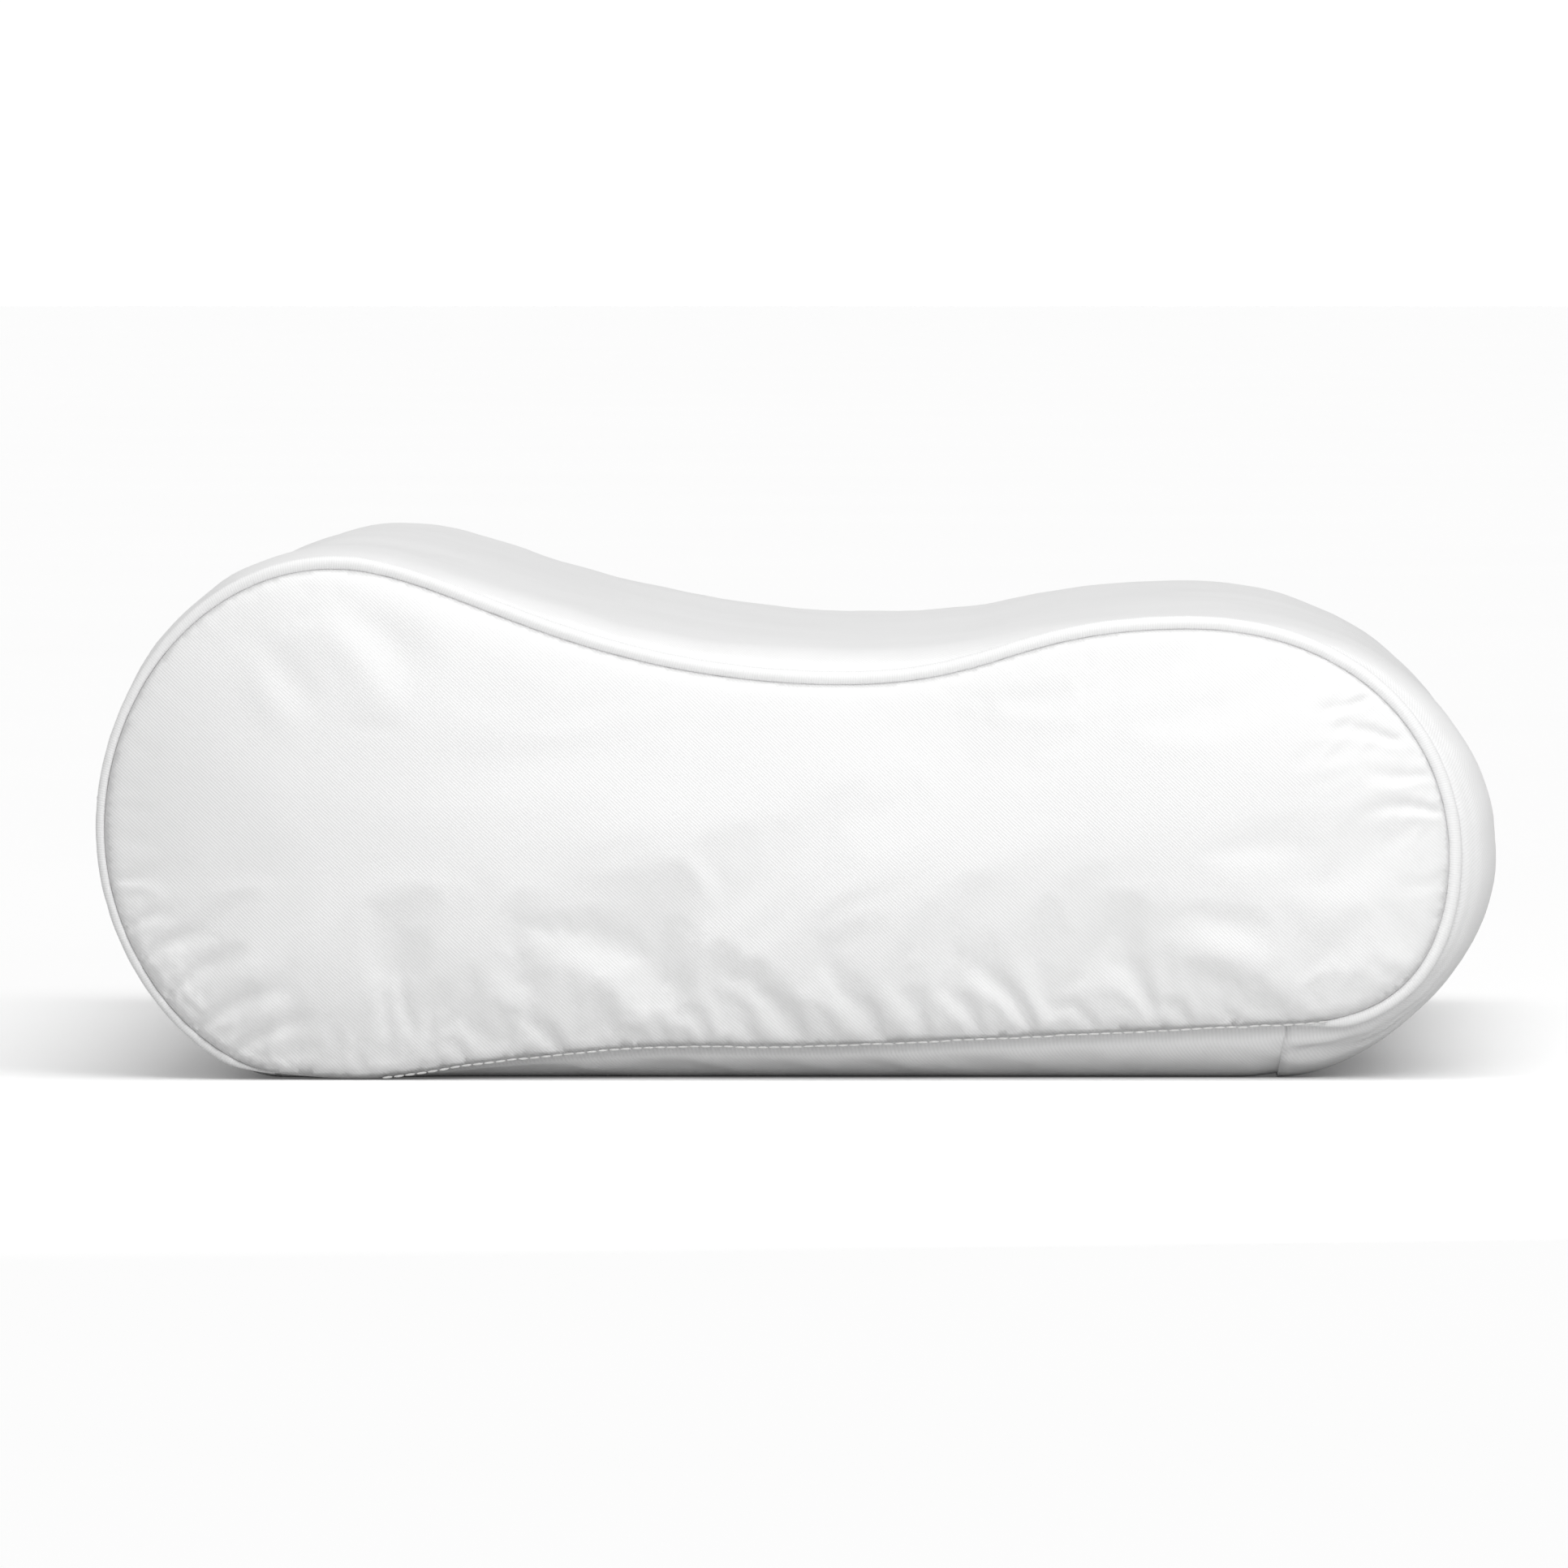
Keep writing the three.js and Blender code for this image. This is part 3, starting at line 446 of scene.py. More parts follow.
def foam_material():
    material, tree, shader = start_material("moulded foam", Roughness=0.95)
    position, calc = object_position(tree), sums(tree)
    cells = add_node(tree, "ShaderNodeTexVoronoi", Vector=position, Scale=900).outputs["Distance"]
    handled = place_group(tree, HANDLED, position, Patch_size=0.08, Crease_size=0.004)
    # The colour is darker in the pits of the cells, a painted shade, mixed with random patches.
    shade_and_patches = calc("ADD", calc("MULTIPLY", cells, 0.5), calc("MULTIPLY", handled.outputs["Patches"], 0.5))
    feed(tree, shader, Base_Color=ramp(tree, shade_and_patches, (0.72, 0.66, 0.50), (0.90, 0.85, 0.70)),
         Normal=bump(tree, cells, 0.4, 0.8))
    return material


NYLON, METAL, FOAM = nylon_material(), metal_material(), foam_material()
print("finishes:", [m.name for m in bpy.data.materials])

# %% [markdown]
# ## Camera, floor and light
# The cushion stands end-on to a long lens, which looks along its width almost level, from slightly above and
# to the right. The floor and the surroundings are so bright that they run into each other, and only the close
# shadow under the cushion is left. One large soft light hangs above and in front and a weak one behind, so that
# the folds read by their upper and lower sides, and a small disc near the end brings out the weave.

# %% The camera
lens_camera = bpy.data.cameras.new("camera")
lens_camera.lens = 471
lens_camera.sensor_width = 36
lens_camera.clip_end = 200
camera = put("camera", lens_camera)
camera.location = (0.0655, -4.844, 0.187)
camera.rotation_euler = (math.radians(90 - 1.5), 0, math.radians(0.85))
bpy.context.scene.camera = camera


# %% The floor and the lights
SKY_LIGHT, SKY_SEEN = 0.41, 1.05
SUN_LIGHT, SUN_SOFTNESS, TOWARDS_SUN = 1.6, 62, (0.15, -0.3, 0.94)
BACK_LIGHT, BACK_SOFTNESS, TOWARDS_BACK = 0.25, 90, (-0.45, 0.62, 0.64)
FLOOR_GLOW, FLOOR_BOUNCE = 0.09, 0.6
NEAR_SIZE, NEAR_LIGHT, NEAR_AT, NEAR_AIM = 0.35, 1.6, (0.2, -0.85, 0.3), (0.02, -0.25, 0.06)


def floor_material():
    """Looks white, with a little glow of its own, but throws back only part of the light, as a far floor does."""
    material, tree, shader = start_material("pale floor", Roughness=1.0, Specular_IOR_Level=0.0,
                                            Emission_Color=(1, 1, 1, 1), Emission_Strength=FLOOR_GLOW)
    handled = place_group(tree, HANDLED, object_position(tree), Patch_size=0.6, Crease_size=0.1)
    feed(tree, shader, Base_Color=ramp(tree, handled.outputs["Patches"], (0.93, 0.93, 0.93), (0.95, 0.95, 0.95)))
    dim = add_node(tree, "ShaderNodeBsdfDiffuse", Color=(FLOOR_BOUNCE, FLOOR_BOUNCE, FLOOR_BOUNCE, 1))
    path = tree.nodes.new("ShaderNodeLightPath")
    choose = add_node(tree, "ShaderNodeMixShader", Fac=path.outputs["Is Camera Ray"])
    plug(tree, choose.inputs[1], dim.outputs[0])
    plug(tree, choose.inputs[2], shader.outputs[0])
    feed(tree, tree.nodes["Material Output"], Surface=choose.outputs[0])
    return material


floor_mesh = bpy.data.meshes.new("floor")
floor_mesh.from_pydata([(-60, -60, 0), (60, -60, 0), (60, 60, 0), (-60, 60, 0)], [], [(0, 1, 2, 3)])
floor_mesh.materials.append(floor_material())
floor = put("floor", floor_mesh)


def far_light(name, energy, softness, towards):
    lamp = bpy.data.lights.new(name, "SUN")
    lamp.energy = energy
    lamp.angle = math.radians(softness)
    put(name, lamp).rotation_euler = Vector(towards).to_track_quat("Z", "Y").to_euler()


far_light("large soft light", SUN_LIGHT, SUN_SOFTNESS, TOWARDS_SUN)
far_light("soft light behind", BACK_LIGHT, BACK_SOFTNESS, TOWARDS_BACK)

near_lamp = bpy.data.lights.new("near soft light", "AREA")
near_lamp.shape = "DISK"
near_lamp.size = NEAR_SIZE
near_lamp.energy = NEAR_LIGHT
near_light = put("near soft light", near_lamp)
near_light.location = NEAR_AT
near_light.rotation_euler = (Vector(NEAR_AT) - Vector(NEAR_AIM)).to_track_quat("Z", "Y").to_euler()
near_light.visible_camera = False

world = bpy.data.worlds.new("bright surroundings")
world.use_nodes = True
seen = world.node_tree.nodes.new("ShaderNodeLightPath").outputs["Is Camera Ray"]
feed(world.node_tree, world.node_tree.nodes["Background"], Color=(1, 1, 1, 1),
     Strength=between(world.node_tree, seen, SKY_LIGHT, SKY_SEEN))
bpy.context.scene.world = world
bpy.context.scene.view_settings.view_transform = "Standard"
bpy.context.scene.view_settings.look = "None"
print("camera at", tuple(round(c, 3) for c in camera.location))

# %% [markdown]
# ## Wrap panels
# The top, base and rear panels are cut from flat cloth, wrapped round the contour and sewn edge to edge. Each is
# a grid: columns round the contour, rows along the width, closer together beside the end seams, where the cloth
# puckers. Beside each end seam the cloth rolls in under the piping. The displacement runs along the outward
# direction: wide soft waves, small puckers beside the seams, and nothing where the zip lies or the floor presses.

# %% Rows along the width, and how far the cloth stands off its smooth shape
def half_rows(first, edge_step=1.6, middle_step=5.0):
    near = np.concatenate([np.arange(0, 13.5, edge_step / 2), np.arange(13.6, 34, edge_step)])
    far = np.arange(near[-1] + middle_step, first, middle_step)
    return first - np.concatenate([near, far])


def mirrored(values):
    return np.unique(np.round(np.concatenate([-values, [0], values]), 4))


def wrap_waves(y, arc, z, zip_from):
    """Displacement in mm of the wrap at a distance along the width, along the contour and above the floor."""
    from_seam = WRAP_Y - np.abs(y)
    side = np.sign(y) * 37.0
    broad = 0.75 * noise(y / 62, arc / 55, 3) + 0.3 * noise(y / 27, arc / 33, 4)
    lengthwise = 0.22 * noise(y / 120, arc / 9, 5)
    pucker = noise(side + arc / 5.5, from_seam / 30, 6) + 0.6 * noise(side + arc / 2.9, from_seam / 14, 7)
    slanted = noise(side + (arc + 1.6 * from_seam) / 7.0, from_seam / 26, 8)
    near = np.exp(-np.clip(from_seam - 2.0, 0, None) / 8.0) * ease(from_seam, 0.0, 4.0)
    gathers = (0.34 * pucker + 0.5 * slanted * (1 - ease(z, 8.0, 20.0))) * near * ease(z, 0.2, 3.0)
    clear_of_floor = ease(z, 1.0, 16.0)
    clear_of_zip = ease(zip_from, 18.0, 40.0)
    return ((broad + lengthwise) * clear_of_floor + gathers) * clear_of_zip


print("a wrap panel has", len(mirrored(half_rows(WRAP_Y))), "rows along the width")


# %% Where the piping runs, and how far it stands outside the seam line
PIPED = (HEEL + 0.02, TOE + ROUND_TRIP - 0.02)


def from_heel(station):
    """The same station, counted so that it grows all along the piping, from the heel to the toe."""
    station = np.mod(station, ROUND_TRIP)
    return np.where(station < (TOE + HEEL) / 2, station + ROUND_TRIP, station)


def piping_radius(station):
    """The cloth beside it hides more of the piping at the heel and the rear than along the top."""
    return np.interp(from_heel(station), [6, 7, 7.5, 8, 11, 12], [1.15, 1.15, 1.35, 1.72, 1.65, 1.45])


def piping_out(station):
    """How far the piping's centre stands outside the seam line."""
    station = from_heel(station)
    return np.interp(station, [6, 6.5, 7, 7.5, 8, 11, 11.6, 12], [0.6, 0.85, 0.9, 1.2, 1.3, 1.25, 1.0, 0.7])


def piping_share(station):
    """1 along the piping, 0 along the plain base seam, easing over the ends where the piping runs out."""
    station, last = from_heel(station), TOE + ROUND_TRIP
    run = arc_at(station, SEAM_WALK)
    run = np.minimum(run - arc_at(HEEL, SEAM_WALK), arc_at(last, SEAM_WALK) - run)
    return np.where((station >= HEEL) & (station <= last), ease(run, 0.5, 12.0), 0.0)


# %% A wrap panel between two seams
ZIP_LINE, MOUTH_HALF, MOUTH_Y = 0.0, 5.0, 215.0
LAP_DEPTH = 0.85  # the base panel's front edge lies behind the top panel's
ALLOWANCE, ALLOWANCE_AT = 0.32, 2.6  # the groove where the seam allowance ends inside
TUCK_DEPTH, TUCK_SLOPES = 0.95, (5.0, 11.0)  # two tucks run out of the seam near the toe


def wrap_panel(name, first, last, parts_at=None):
    """first and last are stations; parts_at is the edge, 0 or -1, that opens into the zip's mouth."""
    rows = mirrored(half_rows(WRAP_Y))
    tuck_under = np.array([0.5, 1.0, 1.5, 2.0]), np.array([0.12, 0.5, 1.05, 1.55])
    tuck_ahead = np.array([0.8, 1.7, 2.6, 3.2]), np.array([0.0, 0.0, 0.12, 0.7])
    y = np.concatenate([np.full(4, -WRAP_Y), rows, np.full(4, WRAP_Y)])
    arcs = np.linspace(arc_at(first), arc_at(last), max(8, round(float(arc_at(last) - arc_at(first)) / 2.4)))
    arcs = np.tile(arcs, (len(y), 1))
    if parts_at is not None:
        opening = MOUTH_HALF * (1 - ease(np.abs(y), MOUTH_Y, MOUTH_Y + 2.5))
        near, far = (1, 0) if parts_at == 0 else (0, 1)
        arcs += (near - far) * opening[:, None] * np.linspace(near, far, arcs.shape[1]) ** 6
    zip_arc = 0.0 if first < TOE - 0.5 else BODY_WALK[-1]
    station = station_at(arcs)
    _, z = contour(swell(y), station)
    from_zip = np.abs(arcs - zip_arc)
    piped = piping_share(station[0])
    push, tuck = (tuck_under[i][:, None] * piped + tuck_ahead[i][:, None] * (1 - piped) for i in (0, 1))
    flat = np.zeros((len(rows), len(piped)))
    y_at = y[:, None] + np.concatenate([-push[::-1], flat, push])
    tucked = np.concatenate([tuck[::-1], flat, tuck])
    depth = tucked - wrap_waves(y_at, arcs, z, from_zip)
    hem = np.exp(-np.abs(arcs - arcs[:, [parts_at]]) / 0.7) * 0.45 if parts_at is not None else 0.0
    lapped = LAP_DEPTH * bell(arcs, arc_at(TOE), 4.0) if parts_at is None else 0.0
    from_seam = WRAP_Y - np.abs(y_at)
    allowance = ALLOWANCE * bell(from_seam, ALLOWANCE_AT, 0.8) * piped
    back = TOE + ROUND_TRIP - from_heel(station)
    runs_out = ease(back, -0.02, 0.08) * (1 - ease(back, 0.25, 0.7))
    for slope in TUCK_SLOPES:
        tuck_line = 2.4 + slope * np.clip(back, 0, 1) ** 0.8
        allowance += TUCK_DEPTH * bell(from_seam, tuck_line, 1.0) * runs_out
    x, z = contour(swell(y), station, depth + hem + lapped + allowance)
    points = stacked(x, y_at, np.maximum(z, 0.02))
    return make_mesh(name, points, grid_faces(*x.shape), stacked(arcs, y_at), SATIN)


top = wrap_panel("cover_top", ZIP_LINE + 0.002, TOE - 0.0008, 0)
base = wrap_panel("cover_base", TOE - 0.03, HEEL - 0.0003)
rear = wrap_panel("cover_rear", HEEL + 0.0008, ROUND_TRIP - 0.002, -1)
for panel, node in ((top, "top_panel"), (base, "base_panel"), (rear, "rear_panel")):
    thicken(panel, COVER)
    settle(panel, "cushion", "cover_satin", node)

# %% [markdown]
# ## End panels
# Each end panel is one flat piece, eased into a curved seam that is a little shorter than its own edge. The spare
# cloth shows as puckers that fan out from the heel, slanting folds above the base seam and small gathers at the
# nose. A net of small triangles fills the outline, so the folds may run any way, and it is finer at the heel and
# the nose. Each fold is a groove with a ridge beside it, widest and softest where it dies out.

# %% The outline that the piping and the base seam leave for the panel
RIM_STEP = 1.25


def end_outline():
    """X and Z of the panel's rim, at even steps."""
    total = SEAM_WALK[-1]
    station = station_at(np.linspace(0, total, round(total / RIM_STEP), endpoint=False), SEAM_WALK)
    piped = piping_share(station)
    depth = piped * (0.8 * piping_radius(station) - piping_out(station)) + (1 - piped) * 0.25
    x, z = contour(0.0, station, depth)
    return np.stack([x[0], z[0]], -1)


# %% Folds: where each starts on the seam, where it runs to, how deep and how wide it is, in mm
HEEL_FOLDS = [
    ((-150.4, 34.2), (-139.5, 38.0), 0.90, 1.4), ((-147.8, 26.2), (-131.5, 34.0), 1.23, 1.7),
    ((-142.6, 17.6), (-122.0, 30.0), 1.38, 1.8), ((-136.2, 10.6), (-111.0, 21.5), 1.52, 1.9),
    ((-127.9, 5.2), (-104.0, 14.5), 1.16, 1.7), ((-152.3, 45.0), (-143.0, 47.5), 0.43, 1.4),
]
BASE_FOLDS = [
    ((-72.9, 2.6), (-80.5, 9.5), 0.81, 1.2), ((-52.0, 5.6), (-62.5, 13.5), 1.28, 1.6),
    ((-28.5, 7.6), (-33.6, 14.0), 0.61, 1.1), ((-19.4, 8.0), (-25.5, 16.5), 0.74, 1.3),
    ((1.2, 9.4), (-24.0, 28.5), 0.81, 3.0), ((-9.5, 8.8), (-22.0, 19.0), 0.61, 2.3),
    ((18.9, 9.6), (-1.0, 29.0), 1.01, 3.0), ((29.0, 9.8), (19.5, 25.0), 0.88, 2.2),
    ((41.0, 10.2), (33.0, 22.0), 1.28, 1.6), ((53.2, 10.6), (39.0, 26.5), 1.62, 1.8),
    ((67.0, 11.2), (60.5, 18.0), 0.61, 1.3), ((79.5, 17.0), (70.0, 28.0), 0.68, 2.1),
    ((88.5, 12.2), (80.5, 18.5), 0.81, 1.4), ((100.0, 13.0), (94.0, 18.0), 0.54, 1.2),
]
NOSE_FOLDS = [
    ((134.0, 76.5), (116.5, 79.0), 0.70, 1.4), ((140.5, 68.5), (126.0, 70.5), 0.56, 1.4),
    ((143.5, 60.5), (125.0, 60.0), 0.77, 1.4), ((127.5, 85.5), (113.0, 84.0), 0.56, 1.3),
    ((145.0, 45.0), (132.0, 44.5), 0.35, 1.4), ((137.5, 22.5), (126.0, 29.0), 0.42, 1.4),
]
SOFT_FOLDS = [
    ((-62.0, 34.0), (-12.0, 14.0), 1.05, 5.4), ((82.0, 36.0), (118.0, 28.5), 1.19, 4.5),
    ((118.0, 28.5), (140.0, 35.0), 0.63, 4.0), ((-104.0, 108.0), (-82.0, 84.0), 0.98, 4.5),
    ((-120.0, 98.0), (-104.0, 86.0), 0.56, 4.0), ((30.0, 88.5), (76.0, 89.5), 0.49, 2.2),
    ((60.0, 84.0), (106.0, 86.0), 0.42, 2.9), ((-20.0, 36.0), (40.0, 40.0), 0.56, 6.3),
]


def fold_height(x, z, fold, rooted=True, groove=1.0, ridge=0.75):
    """A groove along a line with a ridge on its lower side; a groove below 1 is narrower than its ridge."""
    (x0, z0), (x1, z1), deep, wide = fold
    ax, az = x1 - x0, z1 - z0
    length = math.hypot(ax, az)
    along = ((x - x0) * ax + (z - z0) * az) / length
    across = (-(x - x0) * az + (z - z0) * ax) / length
    if ax < 0:
        across = -across
    t = along / length
    bend = 0.08 * length * np.sin(np.clip(t, 0, 1) * math.pi) * (1 if deep > 0.6 else -1)
    width = wide * (0.75 + 0.9 * np.clip(t, 0, 1))
    s = (across - bend) / width
    shape = ridge * bell(s, -1.5, 1.0) + 0.35 * bell(s, 2.0, 1.2) - bell(s, 0.0, groove)
    if rooted:
        t = np.clip(t, 0, 1)
        fade = np.where(along < 0, bell(along, 0.0, 1.5), (1 - t) ** 1.1 * (1 + 0.8 * t))
    else:
        fade = bell(t, 0.5, 0.42)
    return deep * shape * fade


print(len(HEEL_FOLDS + NOSE_FOLDS), "puckers,", len(BASE_FOLDS), "base folds and", len(SOFT_FOLDS), "soft folds")

# %% Distance to the rim, and which points it encloses
def distance_to(loop, points):
    """Distance of points to a closed line."""
    best = np.full(len(points), 1e9)
    for a, b in zip(loop, np.roll(loop, -1, axis=0)):
        ab = b - a
        t = np.clip(((points - a) @ ab) / (ab @ ab), 0, 1)
        best = np.minimum(best, np.linalg.norm(points - a - t[:, None] * ab, axis=1))
    return best


def rounded_distance(loop, points):
    """Like the distance to a closed line, but rounded over where two sides are equally near."""
    ends = np.roll(loop, -1, axis=0)
    pull = np.zeros(len(points))
    for middle, length in zip((loop + ends) / 2, np.linalg.norm(ends - loop, axis=1)):
        pull += length / np.maximum(np.linalg.norm(points - middle, axis=1), 0.4) ** 3
    return np.sqrt(2 / pull)


def inside_loop(loop, points):
    inside = np.zeros(len(points), bool)
    for (x0, z0), (x1, z1) in zip(loop, np.roll(loop, -1, axis=0)):
        crosses = (z0 > points[:, 1]) != (z1 > points[:, 1])
        if z0 != z1:
            inside ^= crosses & (points[:, 0] < (x1 - x0) * (points[:, 1] - z0) / (z1 - z0) + x0)
    return inside


# %% The net of triangles
def lattice(step, low, high):
    xs, zs = np.arange(low[0], high[0], step), np.arange(low[1], high[1], step * 0.866)
    return np.array([(x + (step / 2 if j % 2 else 0), z) for j, z in enumerate(zs) for x in xs])


def end_net(coarse=1.45, fine=0.9):
    """A rim and the points inside it, closer together at the heel and the nose, where the puckers are narrow."""
    rim = end_outline()
    jitter = np.random.default_rng(12)
    kept = []
    for step in (coarse, fine):
        points = lattice(step, rim.min(0), rim.max(0))
        points = points + 0.12 * step * jitter.uniform(-1, 1, points.shape)
        at_heel = (np.hypot(points[:, 0] + 150, points[:, 1] - 12) < 40) & (points[:, 1] < 46)
        at_nose = (points[:, 0] > 118) & (points[:, 1] > 50)
        wanted = (at_heel | at_nose) == (step == fine)
        points = points[wanted & inside_loop(rim, points)]
        kept.append(points[distance_to(rim, points) > 0.55 * step])
    return rim, np.vstack(kept)


RIM, INNER = end_net()
rim_edges = [(i, (i + 1) % len(RIM)) for i in range(len(RIM))]
net_input = [Vector(point) for point in np.vstack([RIM, INNER]).tolist()]
net_points, _, net_faces, *_ = delaunay_2d_cdt(net_input, rim_edges, [], 1, 1e-6)
NET = np.array([tuple(p) for p in net_points])
NET_FACES = [tuple(f) for f in net_faces]
FROM_RIM, PLUMP = distance_to(RIM, NET), rounded_distance(RIM, NET)
RIM_WALK = np.array([np.hypot(*(RIM - point).T).argmin() for point in NET]) * RIM_STEP
print("deepest point of the panel, rounded:", round(float(PLUMP.max()), 1), "mm from its rim")
print("end panel net:", len(NET), "points,", len(NET_FACES), "triangles")


# %% [markdown]
# A cover panel is a little larger than the end that it covers, and the filling pushes it out. A cloth simulation
# gives that: the rim is pinned, a light pressure acts from inside, and the lower part, where the spare cloth
# gathers, is allowed to grow a little, but the taut part above isn't. The result is read off as plain points and
# held within a cap, so no simulation stays on the piece.

# %% Fill a panel by a short cloth simulation
FILL_FRAMES, FILL_PRESSURE, SPARE_CLOTH, FILL_CAP = 15, 3.0, 0.02, 2.4
CLOTH_MASS, STRETCH_STIFFNESS, SHEAR_STIFFNESS, BEND_STIFFNESS = 0.2, 15, 5, 4.0
PINNED = np.clip(1.2 - np.maximum(FROM_RIM - 0.6, 0) / 1.2, 0, 1)
TAUT = ease(NET[:, 1], 16, 48)


def positions(mesh):
    flat = np.zeros(len(mesh.vertices) * 3)
    mesh.vertices.foreach_get("co", flat)
    return flat.reshape(-1, 3)


def fill_out(obj):
    scene, rest = bpy.context.scene, positions(obj.data)
    for label, weights in (("pinned rim", PINNED), ("taut cloth", TAUT)):
        group = obj.vertex_groups.new(name=label)
        for index, weight in enumerate(weights.tolist()):
            group.add([index], weight, "REPLACE")
    cloth = obj.modifiers.new("filling", "CLOTH")
    settings = cloth.settings
    settings.quality, settings.mass = 5, CLOTH_MASS
    settings.tension_stiffness = settings.compression_stiffness = STRETCH_STIFFNESS
    settings.shear_stiffness, settings.bending_stiffness = SHEAR_STIFFNESS, BEND_STIFFNESS
    settings.vertex_group_mass, settings.vertex_group_shrink = "pinned rim", "taut cloth"
    settings.shrink_min, settings.shrink_max = -SPARE_CLOTH, 0.0
    settings.use_pressure, settings.uniform_pressure_force = True, FILL_PRESSURE
    settings.effector_weights.gravity = 0
    cloth.point_cache.frame_start, cloth.point_cache.frame_end = 1, FILL_FRAMES
    for step in range(1, FILL_FRAMES + 1):
        scene.frame_set(step)
    filled = positions(obj.evaluated_get(bpy.context.evaluated_depsgraph_get()).data)
    obj.modifiers.remove(cloth)
    obj.vertex_groups.clear()
    scene.frame_set(1)
    move = (filled - rest) / MM
    length = np.maximum(np.linalg.norm(move, axis=1, keepdims=True), 1e-6)
    move *= FILL_CAP * np.tanh(length / FILL_CAP) / length
    obj.data.vertices.foreach_set("co", (rest + move * MM).ravel())
    obj.data.update()
    print(obj.name, "filled out by up to", round(float(length.max()), 1), "mm")


# %% Both end panels
CROWN, CROWN_REACH, ROLL = 8.5, 50.0, 1.6


def end_panel(name, side, folds, puckers, soft, seed):
    (x, z), d = NET.T, FROM_RIM
    roll = ROLL * (1 - np.exp(-d / 1.2))
    crown = CROWN * (1 - (1 - np.clip(PLUMP / CROWN_REACH, 0, 1)) ** 2)
    low = 1 - ease(z, 20, 60)
    waves = 0.75 * noise(x / 48 + 9, z / 38, seed) + (0.14 + 0.3 * low) * noise(x / 19, z / 16 + 5, seed + 1)
    gathers = 0.16 * noise(RIM_WALK / 2.6, d / 9, seed + 3) * np.exp(-d / 5) * ease(d, 0, 1.5)
    height = roll + crown + waves * ease(d, 1, 14) + gathers
    for fold in folds:
        height += fold_height(x, z, fold) * ease(d, -0.4, 1.6)
    for fold in soft:
        height += fold_height(x, z, fold, False) * ease(d, 0, 6)
    points = stacked(x, side * (PANEL_Y + height), np.maximum(z, 0.15))
    faces = [f[::-1] for f in NET_FACES] if side > 0 else NET_FACES
    obj = make_mesh(name, points, faces, NET, SATIN)
    if (obj.data.polygons[0].normal.y > 0) != (side > 0):
        obj.data.flip_normals()
    fill_out(obj)
    points = positions(obj.data)
    for pucker in puckers:
        points[:, 1] += side * MM * fold_height(x, z, pucker, groove=0.8, ridge=0.4) * ease(d, -0.4, 1.6)
    obj.data.vertices.foreach_set("co", points.ravel())
    obj.data.update()
    return thicken(obj, COVER)


def turned_folds(folds, seed):
    """The same kind of folds as sewing and filling would leave them on the other end."""
    rng = np.random.default_rng(seed)
    made = []
    for (x0, z0), (x1, z1), deep, wide in folds:
        slip = rng.uniform(-4, 4)
        end = x1 + slip + rng.uniform(-5, 5), z1 + rng.uniform(-2, 3)
        made.append(((x0 + slip, z0), end, deep * rng.uniform(0.4, 1.1), wide * rng.uniform(0.8, 1.4)))
    return made


end_front = end_panel("cover_end_front", -1, BASE_FOLDS, HEEL_FOLDS + NOSE_FOLDS, SOFT_FOLDS, 21)
end_rear = end_panel("cover_end_rear", 1, turned_folds(BASE_FOLDS, 31), turned_folds(NOSE_FOLDS, 32),
                     turned_folds(SOFT_FOLDS, 33), 41)
for panel, node in ((end_front, "end_panel_front"), (end_rear, "end_panel_rear")):
    settle(panel, "cushion", "cover_satin", node)

# %% [markdown]
# ## Piping
# The piping is a bias strip of the cover cloth folded round a cotton cord and caught in the end seam. It is a
# tube swept along the seam. Its surface is slightly uneven where the strip is pulled tight round bends, and at
# each end it narrows and dives into the seam, where the maker tucks it away.

# %% A tube along a line, with a radius for each point
def tube(name, path, radius, material, slide=0.0):
    """path is one point a row, and radius one row a point with a column for each side."""
    sides = radius.shape[1]
    along = np.gradient(path, axis=0)
    along /= np.linalg.norm(along, axis=1, keepdims=True)
    across = np.tile(np.array([0.0, 1.0, 0.0]), (len(path), 1))
    across -= (across * along).sum(1, keepdims=True) * along
    across /= np.linalg.norm(across, axis=1, keepdims=True)
    up = np.cross(along, across)
    turn = np.linspace(0, 2 * math.pi, sides, endpoint=False)
    ring = np.cos(turn)[None, :, None] * across[:, None, :] + np.sin(turn)[None, :, None] * up[:, None, :]
    points = path[:, None, :] + ring * radius[..., None]
    points = np.vstack([points.reshape(-1, 3), path[:1], path[-1:]])
    walk = np.concatenate([[0], np.cumsum(np.linalg.norm(np.diff(path, axis=0), axis=1))])
    round_it = turn * float(np.mean(radius))
    cloth = np.vstack([stacked(walk[:, None], round_it + slide * walk[:, None]), [[0, 0], [walk[-1], 0]]])
    obj = make_mesh(name, points, capped_faces(len(path), sides), cloth, material)
    outward(obj)
    return obj


PIPING_SIDES, CORD_SIDES, CORD_R = 20, 8, 0.85


